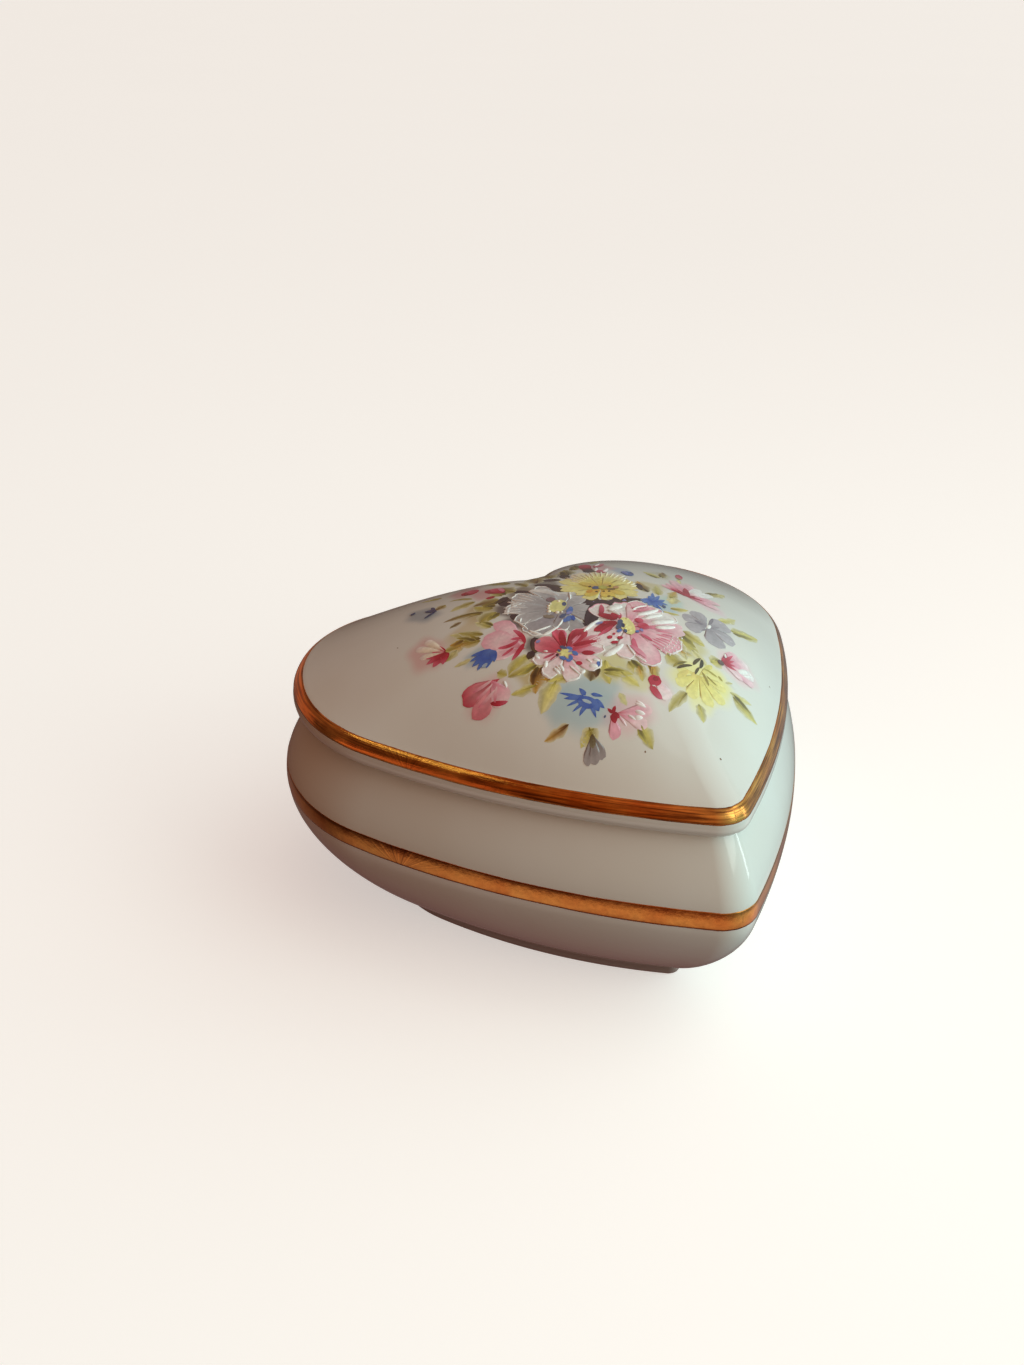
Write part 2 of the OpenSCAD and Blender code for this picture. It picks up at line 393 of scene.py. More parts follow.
def bump(tree, height, strength, distance, normal=None):
    inputs = {"Height": height, "Strength": strength, "Distance": distance}
    if normal is not None:
        inputs["Normal"] = normal
    return add_node(tree, "ShaderNodeBump", inputs).outputs["Normal"]


def object_coordinates(tree):
    return add_node(tree, "ShaderNodeTexCoord").outputs["Object"]


# How fine each texture is, in patches per metre
TONE_CLOUDS = 45
GLAZE_RIPPLES = 130
GLOSS_PATCHES = 320
GLAZE_GRAIN = 2600
GOLD_PATCHES = 160
ENAMEL_MOTTLE = 1400
ENAMEL_GLOSS = 700
ENAMEL_GRAIN = 1800

BISQUE_ROUGHNESS = 0.8
GLAZE_IOR = 1.54
PORCELAIN_WHITE = (0.83, 0.84, 0.79, 1)
PORCELAIN_CREAM = (0.80, 0.79, 0.72, 1)
BISQUE = (0.70, 0.64, 0.56, 1)


def porcelain_material():
    """White porcelain under a clear glaze, bare and matt where the foot was wiped, tinted where painted, and
    darkened round the foot with painted shade
    """
    material, tree, shader = new_material("glazed_porcelain")
    place = object_coordinates(tree)
    body = blend_colours(tree, spread(tree, noise(tree, place, TONE_CLOUDS), 0, 1), PORCELAIN_WHITE,
                         PORCELAIN_CREAM)
    # Paint holds the lid's washes and, on the bowl, the painted shade round the foot
    colours = add_node(tree, "ShaderNodeAttribute", attribute_name="Paint")
    painted = blend_colours(tree, colours.outputs["Alpha"], body, colours.outputs["Color"])
    bare = add_node(tree, "ShaderNodeAttribute", attribute_name="Bare").outputs["Fac"]
    finished = blend_colours(tree, bare, painted, BISQUE)
    tree.links.new(finished, shader.inputs["Base Color"])
    gloss = spread(tree, noise(tree, place, GLOSS_PATCHES), 0.07, 0.12)
    roughness = add_node(tree, "ShaderNodeMix")
    tree.links.new(bare, roughness.inputs["Factor"])
    tree.links.new(gloss, roughness.inputs["A"])
    roughness.inputs["B"].default_value = BISQUE_ROUGHNESS
    tree.links.new(roughness.outputs["Result"], shader.inputs["Roughness"])
    ripple = bump(tree, noise(tree, place, GLAZE_RIPPLES, detail=3), 0.12, 0.0004)
    grain = bump(tree, noise(tree, place, GLAZE_GRAIN), 0.05, 0.00004, ripple)
    tree.links.new(grain, shader.inputs["Normal"])
    shader.inputs["IOR"].default_value = GLAZE_IOR
    shader.inputs["Coat Weight"].default_value = 0.35
    shader.inputs["Coat Roughness"].default_value = 0.06
    return material


# GOLD_SHADE is the gold's darkest brown, used for its painted dark reflections and its worn streaks and rays
GOLD_SHADE = (0.16, 0.045, 0.012, 1)
GOLD_DEEP = (0.62, 0.20, 0.045, 1)
GOLD_BRIGHT = (0.88, 0.42, 0.10, 1)


def gold_material(name, rub_along, rub_across, wear_and_reflection_share, middle):
    """Burnished gold, rubbed along or across the line; a share of it goes brown in streaks that stand partly
    for wear and partly for painted dark reflections
    """
    material, tree, shader = new_material(name)
    track = add_node(tree, "ShaderNodeAttribute", attribute_name="Track").outputs["Vector"]
    rayed = add_node(tree, "ShaderNodeAttribute", attribute_name="Rayed").outputs["Fac"]
    patches = noise(tree, object_coordinates(tree), GOLD_PATCHES, detail=4)
    marks = noise(tree, stretched(tree, track, rub_along, rub_across), 1.0, detail=5, roughness=0.6)
    rays = noise(tree, stretched(tree, track, 0, 0, 6.0), 1.0, detail=2)
    gold = blend_colours(tree, spread(tree, patches, 0, 1), GOLD_DEEP, GOLD_BRIGHT)
    # Rub streaks: partly burnish wear, partly painted dark reflection
    rubbed_and_reflected = spread(tree, marks, wear_and_reflection_share, 0, middle)
    wear_and_reflection = blend_colours(tree, rayed, rubbed_and_reflected, spread(tree, rays, 0.85, 0, 0.12))
    browned = blend_colours(tree, wear_and_reflection, gold, GOLD_SHADE)
    # Painted dark reflection: brown along the belly band's top edge
    dark_reflection_mask = add_node(tree, "ShaderNodeAttribute", attribute_name="DarkReflection").outputs["Fac"]
    tree.links.new(blend_colours(tree, dark_reflection_mask, browned, GOLD_SHADE), shader.inputs["Base Color"])
    tree.links.new(spread(tree, patches, 0.12, 0.24), shader.inputs["Roughness"])
    rubs = bump(tree, marks, 0.35, 0.00008)
    tree.links.new(bump(tree, patches, 0.25, 0.0003, rubs), shader.inputs["Normal"])
    shader.inputs["Metallic"].default_value = 1.0
    return material


def stretched(tree, vector, along, across, fanned=0.0):
    """A gilt line's track, scaled along the line, across it and round the fan of rays"""
    return add_node(tree, "ShaderNodeVectorMath", {0: vector, 1: (along, across, fanned)},
                    operation="MULTIPLY").outputs["Vector"]


def enamel_material():
    """Fired enamel colours under the glaze's shine, taken from the brush marks' own colours"""
    material, tree, shader = new_material("flower_enamel")
    place = object_coordinates(tree)
    colours = add_node(tree, "ShaderNodeAttribute", attribute_name="Paint").outputs["Color"]
    mottle = spread(tree, noise(tree, place, ENAMEL_MOTTLE, detail=3), 0.90, 1.08)
    worked = add_node(tree, "ShaderNodeVectorMath", {0: colours}, operation="SCALE")
    tree.links.new(mottle, worked.inputs["Scale"])
    tree.links.new(worked.outputs["Vector"], shader.inputs["Base Color"])
    tree.links.new(spread(tree, noise(tree, place, ENAMEL_GLOSS), 0.16, 0.28), shader.inputs["Roughness"])
    tree.links.new(bump(tree, noise(tree, place, ENAMEL_GRAIN), 0.15, 0.00004), shader.inputs["Normal"])
    shader.inputs["Coat Weight"].default_value = 0.3
    shader.inputs["Coat Roughness"].default_value = 0.08
    return material


# ------------------------------------------------------------------ porcelain

# A warm brown painted shade darkens the foot and the belly just above it, and the foot's underside is bare
FOOT_PAINTED_SHADE = (122, 88, 78)
FOOT_SHADE_COVER = 0.8
FOOT_SHADE_TOP = FOOT_H + 0.9
FOOT_SHADE_FADE = 1.2
BARE_TOP = 0.25
BARE_FADE = 0.15
ROOF_RINGS = 24
DOME_RINGS = 104


def make_bowl(material):
    profile = bowl_profile()
    rings = [ring(out, height) for out, height in profile]
    start = [*CENTRE, profile[0, 1]]
    end = [*CENTRE, profile[-1, 1]]
    points, faces = capped_shell(rings, start, end)
    bowl = add_piece("bowl_porcelain", points, faces, "base", "porcelain", material, "base_bowl")
    # Painted shade: warm brown over the foot, fading out above it
    foot_shade = FOOT_SHADE_COVER * np.clip((FOOT_SHADE_TOP - points[:, 2]) / FOOT_SHADE_FADE, 0, 1)
    paint(bowl, "Paint", np.column_stack([np.tile(linear(FOOT_PAINTED_SHADE), (len(points), 1)), foot_shade]))
    mark_vertices(bowl, "Bare", np.clip((BARE_TOP - points[:, 2]) / BARE_FADE, 0, 1))


def lid_rings():
    seat = lid_seat_profile()
    roof_edge, roof_foot = -MOUTH_IN - RIM_W - FLANGE_GAP - FLANGE_W - 1, DOME_FOOT + 0.6
    roof_rise = BOX_H - LID_WALL - roof_foot
    shares = np.arange(1, ROOF_RINGS + 1) / ROOF_RINGS
    roof = [ring(roof_edge, roof_foot + roof_rise * dome_rise(share), share) for share in shares]
    middle = [ring(out, height, back=back) for out, height, back in seat]
    shares = np.arange(DOME_RINGS - 1, 0, -1) / DOME_RINGS
    dome_z = DOME_FOOT + (BOX_H - DOME_FOOT) * dome_rise(shares)
    dome = [ring(-DOME_IN, z, share, DOME_BACK) for z, share in zip(dome_z, shares)]
    return roof + middle + dome, len(roof) + len(middle)


def make_lid(material):
    rings, dome_start = lid_rings()
    points, faces = capped_shell(rings, [*CENTRE, BOX_H - LID_WALL], [*APEX, BOX_H])
    lid = add_piece("lid_porcelain", points, faces, "lid", "porcelain", material, "lid_shell")
    colours = np.zeros((len(points), 4))
    outside = np.arange(len(points)) >= dome_start * COLUMNS
    outside[-2] = False
    colours[outside] = washes(points[outside, 0], points[outside, 1])
    paint(lid, "Paint", colours)
    mark_vertices(lid, "Bare", np.zeros(len(points)))


# ------------------------------------------------------------------ gilding

# How far a gilt line stands proud of the porcelain and runs into it, in millimetres
GILT_PROUD = 0.035
GILT_SUNK = 0.12
GILT_ROWS = 13
# The uneven edge of a gilt line: its share of the line's width, and its waves round the box
WOBBLE = 0.05
WOBBLE_WAVES = (5, 9, 14, 23, 37, 61)
# Along its top edge the belly's gold carries a painted dark reflection in brown
TOP_EDGE_REFLECTION_COVER = 0.8
TOP_EDGE_REFLECTION_FADE = 0.08
# Where the burnisher left a fan of fine rays in the gold, and how far under the line they meet
RAYS_AT = (-43.5, -9.0)
RAYS_REACH = 10.0
RAYS_MEET = 0.9


def hand_wobble(rng, size):
    """A slow, uneven wave round the outline, between 0 and size"""
    turn = np.arange(COLUMNS) / COLUMNS * 2 * math.pi
    phases = rng.uniform(0, 2 * math.pi, len(WOBBLE_WAVES))
    wave = sum(np.sin(turn * count + phase) / count**0.5 for count, phase in zip(WOBBLE_WAVES, phases))
    return (wave - wave.min()) / np.ptp(wave) * size


def mark_gilt_track(line, points, tracks, across, dark_reflection_from):
    """Stores where each point lies on the line, for its rub marks, its rays and the painted dark reflection
    along its top edge
    """
    layer = line.data.attributes.new("Track", "FLOAT_VECTOR", "POINT")
    along, over = tracks
    from_rays = np.linalg.norm(points[:, :2] - RAYS_AT, axis=1)
    fanned = (along - along[np.argmin(from_rays)]) / (RAYS_MEET + over)
    layer.data.foreach_set("vector", np.column_stack([along, over, fanned]).astype(np.float32).ravel())
    mark_vertices(line, "Rayed", np.exp(-(from_rays / RAYS_REACH) ** 2))
    # Painted dark reflection along the top edge, waving a little round the box
    top_edge_reflection = TOP_EDGE_REFLECTION_COVER * np.clip((np.array([*across, 0, 0]) - dark_reflection_from) / TOP_EDGE_REFLECTION_FADE, 0, 1)
    mark_vertices(line, "DarkReflection", np.repeat(top_edge_reflection, COLUMNS) * (0.75 + 0.25 * np.sin(along / 7)))


def make_gilt_line(name, control, back, body, material, node, seed, dark_reflection_from=1.0):
    """A hand-laid line of gold over the porcelain, its edges a little uneven"""
    rng = np.random.default_rng(seed)
    low = hand_wobble(rng, WOBBLE)
    high = 1 - hand_wobble(rng, WOBBLE)
    control = [np.asarray(p, float) for p in control]
    across = np.linspace(0, 1, GILT_ROWS)
    rings, tracks = [], []
    steps = np.linalg.norm(np.roll(OUTLINE, -1, axis=0) - OUTLINE, axis=1)
    along = np.concatenate([[0], np.cumsum(steps)[:-1]])
    width = np.linalg.norm(control[3] - control[0])
    for position, proud in (*((p, GILT_PROUD) for p in across), (1, -GILT_SUNK), (0, -GILT_SUNK)):
        t = low + (high - low) * position
        place = bezier(control, t)
        ahead = bezier(control, t + 0.01) - place
        outward = np.stack([ahead[:, 1], -ahead[:, 0]], axis=1)
        place += outward / np.linalg.norm(outward, axis=1, keepdims=True) * proud
        rings.append(ring(place[:, 0], place[:, 1], back=back))
        tracks.append([along, t * width])
    faces = tube_faces(len(rings), COLUMNS, closed=True)
    line = add_piece(name, np.vstack(rings), faces, body, "gilding", material, node)
    mark_gilt_track(line, np.vstack(rings), np.hstack(tracks), across, dark_reflection_from)
    return line


# ------------------------------------------------------------------ brush marks

# The size of a mark's mesh cells, and the height of one mark over the last, in millimetres
CELL = 0.45
LAYER = 0.002
SRGB_KNEE = 0.04045


def linear(colour):
    """Linear light from a colour given as 0 to 255 in sRGB"""
    value = np.asarray(colour, float) / 255
    return np.where(value <= SRGB_KNEE, value / 12.92, ((value + 0.055) / 1.055) ** 2.4)


def ramp(stops, t):
    """Linear colours along t, between stops spaced evenly from 0 to 1"""
    values = np.array([linear(stop) for stop in stops])
    places = np.linspace(0, 1, len(values))
    return np.stack([np.interp(t, places, values[:, i]) for i in range(3)], axis=-1)


def taper(t, rise, fall):
    """A width along a mark, from nothing up to 1 and down to nothing"""
    peak = rise / (rise + fall)
    return (t / peak) ** rise * ((1 - t) / (1 - peak)) ** fall


class Canvas:
    """The brush marks of one painted piece, each draped over the dome a little above the last"""

    def __init__(self, name, lift, seed):
        self.name = name
        self.lift = lift
        self.rng = np.random.default_rng(seed)
        self.points, self.colours, self.faces = [], [], []
        self.count = 0

    def sheet(self, x, y, colours, relief=0.0):
        """A grid of plan positions; raised enamel meets the glaze round its border"""
        rows, columns = x.shape
        lift = np.full(x.shape, self.lift) + relief
        if np.max(relief) > 0:
            lift[[0, -1], :] = 0
            lift[:, [0, -1]] = 0
        self.points.append(on_dome(x, y, lift).reshape(-1, 3))
        self.colours.append(np.clip(colours, 0, 1).reshape(-1, 3))
        for i in range(rows - 1):
            for j in range(columns - 1):
                a = self.count + i * columns + j
                self.faces.append((a, a + columns, a + columns + 1, a + 1))
        self.count += rows * columns
        self.lift += LAYER

    def streaked(self, t, u, stops, streak, edge, edge_power=3):
        """Colours that run along a mark in brushed streaks, lighter or darker towards its sides"""
        colours = ramp(stops, t)
        bristles = self.rng.normal(0, 1, 9)
        waver = np.interp(u + 0.12 * np.sin(3 * t + bristles[0]), np.linspace(-1, 1, 9), bristles)
        fade = np.sin(math.pi * np.clip(t, 0, 1)) ** 0.5
        colours = colours * (1 + streak * waver * fade)[..., None]
        if edge is not None:
            rim = (np.abs(u) ** edge_power)[..., None]
            colours = colours * (1 - rim) + linear(edge) * rim
        return colours

    def blade(self, start, angle, length, width, stops, bend=0.0, shape=(0.7, 0.45), streak=0.08,
              edge=None, relief=0.0, ragged=0.0, edge_power=3):
        """A leaf, a narrow petal or a brush stroke, from its foot to its tip"""
        rows = max(5, round(length / CELL))
        columns = max(4, round(width / CELL))
        t, u = np.meshgrid(np.linspace(0, 1, rows + 1), np.linspace(-1, 1, columns + 1), indexing="ij")
        turn = np.radians(angle + bend * (np.linspace(0, 1, rows + 1) - 0.5))
        step = length / rows
        line_x = start[0] + np.concatenate([[0], np.cumsum(np.cos(turn[:-1]))]) * step
        line_y = start[1] + np.concatenate([[0], np.cumsum(np.sin(turn[:-1]))]) * step
        half = taper(t, *shape) * width / 2
        if ragged:
            phases = self.rng.uniform(0, 2 * math.pi, 4)
            teeth = np.sin(9 * t + 2 * u + phases[0]) + np.sin(17 * t - u + phases[1])
            half = half * (1 + ragged * teeth / 2)
        x = line_x[:, None] - np.sin(turn)[:, None] * half * u
        y = line_y[:, None] + np.cos(turn)[:, None] * half * u
        rise = relief * (1 - u**2) * np.sin(math.pi * t) ** 0.5
        self.sheet(x, y, self.streaked(t, u, stops, streak, edge, edge_power), rise)

    def fan(self, start, angle, length, spread, stops, fullness=(2.6, 0.5), ruffle=0.04, notch=0.0,
            streak=0.08, edge=None, rim=None):
        """A broad petal that opens from its foot over a spread of degrees to either side"""
        rows = max(5, round(length / CELL))
        columns = max(8, round(2 * math.radians(spread) * length * 0.8 / CELL))
        t, u = np.meshgrid(np.linspace(0, 1, rows + 1), np.linspace(-1, 1, columns + 1), indexing="ij")
        phases = self.rng.uniform(0, 2 * math.pi, 3)
        waves = sum(np.sin(count * u + phase) for count, phase in zip((4.5, 8, 13), phases)) / 3
        reach = length * (1 - np.abs(u) ** fullness[0]) ** fullness[1]
        reach = reach * (1 + ruffle * waves) * (1 - notch * np.exp(-(u / 0.22) ** 2))
        turn = np.radians(angle + spread * u)
        x = start[0] + t * reach * np.cos(turn)
        y = start[1] + t * reach * np.sin(turn)
        self.sheet(x, y, self.streaked(t, u, stops, streak, edge))
        if rim is not None:
            self.rim(start, turn[0, 1:-1], reach[0, 1:-1], *rim)

    def rim(self, start, turn, reach, width, colour):
        """A raised line of enamel along a petal's outer edge, thick in the middle"""
        t, u = np.meshgrid(np.linspace(0, 1, len(turn)), np.linspace(1, -1, 5), indexing="ij")
        far = reach[:, None] - width * (1 - u) / 2 * np.sin(math.pi * np.clip(t, 0.03, 0.97)) ** 0.7
        x = start[0] + far * np.cos(turn)[:, None]
        y = start[1] + far * np.sin(turn)[:, None]
        rise = FINE_BEAD * (1 - u**2) * np.sin(math.pi * t) ** 0.5
        self.sheet(x, y, ramp([colour, colour], t), rise)

    def dab(self, x, y, length, width, colour, angle=0.0, relief=0.0):
        """A rounded touch of the brush"""
        facing = unit(angle)
        start = (x - facing[0] * length / 2, y - facing[1] * length / 2)
        self.blade(start, angle, length, width, [colour, colour], shape=(0.5, 0.5), relief=relief)

    def stroke(self, start, end, width, colour, sag=0.0, relief=0.0, shape=(0.5, 0.6)):
        """A thin line from start to end that bows to its left by sag degrees"""
        way = np.subtract(end, start)
        stops = colour if isinstance(colour, list) else [colour, colour]
        self.blade(start, heading(way), np.hypot(*way), width, stops, bend=-sag, shape=shape,
                   streak=0.04, relief=relief)

    def dabs(self, rows, relief=0.0):
        """Dabs from rows of x, y, length, width, colour and angle"""
        for x, y, length, width, colour, angle in rows:
            self.dab(x, y, length, width, colour, angle, relief)

    def strokes(self, rows, colour=None, relief=0.0):
        """Strokes from rows of start x and y, end x and y, width, sag and, where it has its own, colour"""
        for start_x, start_y, end_x, end_y, width, sag, *own in rows:
            self.stroke((start_x, start_y), (end_x, end_y), width, *(own or [colour]), sag=sag,
                        relief=relief)

    def blades(self, foot, rows, stops=None, **style):
        """Blades that share a foot, from rows of angle, length, width and, where it has its own, colours"""
        for angle, length, width, *own in rows:
            self.blade(foot, angle, length, width, *(own or [stops]), **style)

    def blades_at(self, rows, stops=None, **style):
        """Blades from rows of foot x and y, angle, length, width and, where it has its own, colours"""
        for x, y, angle, length, width, *own in rows:
            self.blade((x, y), angle, length, width, *(own or [stops]), **style)

    def finish(self, material):
        """Makes the piece"""
        piece = add_piece(self.name, np.vstack(self.points), self.faces, "lid", "flower_enamel",
                          material, "lid_flower_transfer")
        colours = np.vstack(self.colours)
        paint(piece, "Paint", np.column_stack([colours, np.ones(len(colours))]))


# ------------------------------------------------------------------ palette

# Enamel colours in sRGB, 0 to 255
CRIMSON = (196, 48, 72)
DEEP_RED = (160, 30, 48)
MAROON = (112, 34, 44)
ROSE = (226, 112, 138)
PINK = (240, 174, 190)
PALE_PINK = (250, 218, 222)
BLUSH = (252, 238, 238)
WHITE = (253, 252, 248)
CREAM = (250, 236, 214)
GREY = (176, 173, 175)
PALE_GREY = (203, 201, 202)
LILAC_GREY = (164, 158, 166)
DUSK = (60, 44, 52)
OLIVE_DARK = (92, 78, 44)
BROWN = (120, 84, 46)
OLIVE = (168, 150, 66)
MOSS = (190, 178, 88)
LEAF_YELLOW = (216, 206, 108)
LEAF_PALE = (222, 214, 150)
LEAF_EDGE = (224, 220, 186)
OCHRE = (206, 158, 66)
YELLOW = (234, 212, 98)
LEMON = (246, 240, 158)
BUTTER = (246, 232, 160)
ROYAL = (58, 98, 186)
BLUE = (92, 128, 200)
SLATE = (84, 98, 134)
SKY = (184, 208, 212)
PERIWINKLE = (150, 150, 206)

# How far raised enamel stands up, how high flat enamel starts, and how leaves overlap, in millimetres
BEAD = 0.14
FINE_BEAD = 0.08
ENAMEL_LIFT = 0.006
LEAF_LIFT = ENAMEL_LIFT + 0.004
LEAF_PILE = 0.006

# Leaves are painted a little larger than their rows say, and their dark strokes in a shade of the foot
LEAF_LONGER = 1.1
LEAF_WIDER = 1.2
LEAF_SHADE = 0.66

# How far a wash reaches past its own half size, and the share of it over which it fades
WASH_REACH = 1.12
WASH_FADE = 0.62


# Soft washes in the glaze: x, y, half length, half width, angle, colour, strength
WASHES = [
    (-28.4, 8.4, 5.2, 3.6, 80, (224, 160, 160), 0.62),
    (-23.3, 21.3, 4.6, 2.9, 100, (150, 166, 178), 0.75),
    (-22.6, 0.4, 2.9, 2.2, 0, (176, 196, 204), 0.8), (-24.8, -7.4, 4.2, 3.6, 20, (232, 172, 176), 0.5),
    (-17.4, 0.6, 4.6, 4.2, 70, (236, 184, 184), 0.7), (-13.6, -17.6, 5.6, 5, 10, SKY, 0.9),
    (-11, -21, 3.6, 2.6, -20, SKY, 0.8), (-16.4, -16, 3.4, 2.6, 30, SKY, 0.8),
    (-9, -17.6, 2.6, 3.4, 0, SKY, 0.75), (-7.6, -23.2, 4.8, 3.4, -10, (240, 196, 202), 0.6),
    (-1.2, -21.6, 2.2, 3, 0, (244, 204, 208), 0.5), (6.6, -21.4, 5.6, 5.2, 0, (250, 244, 160), 0.9),
    (10.2, -21.8, 2.6, 3.2, 0, (246, 240, 150), 0.8), (4.6, -25.2, 3, 2.4, 20, (250, 246, 178), 0.7),
    (16.6, -18.4, 4.2, 3.6, -10, (248, 196, 206), 0.7), (14.2, -1.6, 2.6, 3, 0, (196, 222, 214), 0.8),
    (11.6, -4, 2.2, 2.6, 0, (184, 210, 220), 0.8), (21.6, 4, 5.4, 3.4, 55, (244, 200, 208), 0.6),
    (22.4, -2.2, 3.4, 2.4, -40, (244, 204, 216), 0.6), (14, 14.2, 3.4, 2, 80, (170, 190, 214), 0.75),
    (-13.8, 23.4, 3.8, 3.2, 40, (216, 140, 148), 0.7), (-12.2, 18.2, 3.4, 3.2, 60, (220, 150, 156), 0.7),
    (10.6, 18.6, 3.6, 4.4, 60, (230, 168, 176), 0.7), (-8.4, 5.4, 7.4, 6.4, 30, (190, 180, 180), 0.8),
    (0.2, 24, 4.4, 3, 20, (206, 192, 140), 0.5), (-6, -14.8, 4, 3, 30, (220, 212, 128), 0.7),
    (-3.6, -19, 2.4, 3, 60, (228, 220, 150), 0.6), (9.4, -14.4, 3.6, 3.4, 60, (214, 206, 130), 0.7),
    (13.6, 5.4, 2.6, 4, 70, (214, 200, 140), 0.7), (-16.6, 12, 4.4, 3.4, 30, (190, 166, 96), 0.7),
    (-21.4, 7.6, 5, 3.2, 20, (208, 184, 124), 0.55), (-17.6, -9, 2.8, 4, 0, (200, 178, 96), 0.7),
    (19.8, -9.4, 2.6, 1.8, 10, (206, 202, 206), 0.6), (-1.4, 2.6, 3.6, 5.4, 20, (66, 52, 58), 0.85),
    (5.6, 0.8, 3.2, 2.2, -10, (66, 54, 58), 0.85), (-13, 8.6, 2.4, 3.2, 10, (70, 52, 52), 0.85),
    (-13.8, 3.6, 3, 1.8, 100, (80, 60, 62), 0.8), (-7.6, 13.8, 3.4, 2.4, 20, (108, 88, 60), 0.75),
    (-2.4, 13.6, 3.4, 2.6, 110, (78, 60, 54), 0.75), (-14.4, -3.8, 2.6, 1.8, 60, (76, 62, 62), 0.8),
    (-5.6, -4.2, 2.4, 2, 30, (76, 66, 64), 0.85), (3, 17.4, 2.6, 2.4, 0, (96, 80, 66), 0.7),
    (20.6, 11.4, 3.2, 2.4, 60, (204, 198, 160), 0.6)
]


def washes(x, y):
    """The washes' mixed colour over plan positions, with how strongly it covers the porcelain"""
    colour = np.zeros((len(x), 3))
    cover = np.zeros(len(x))
    for centre_x, centre_y, half_length, half_width, angle, tint, strength in WASHES:
        ahead = unit(angle)
        along = ((x - centre_x) * ahead[0] + (y - centre_y) * ahead[1]) / half_length
        aside = ((y - centre_y) * ahead[0] - (x - centre_x) * ahead[1]) / half_width
        waver = 1 + 0.08 * np.sin(5 * np.arctan2(aside, along) + centre_x)
        depth = np.clip((WASH_REACH - np.hypot(along, aside) / waver) / WASH_FADE, 0, 1)
        amount = strength * depth * depth * (3 - 2 * depth)
        colour = colour * (1 - amount)[:, None] + linear(tint) * amount[:, None]
        cover = cover + amount - cover * amount
    mixed = colour / np.maximum(cover, 1e-6)[:, None]
    return np.column_stack([mixed, cover])


# ------------------------------------------------------------------ leaves and ground

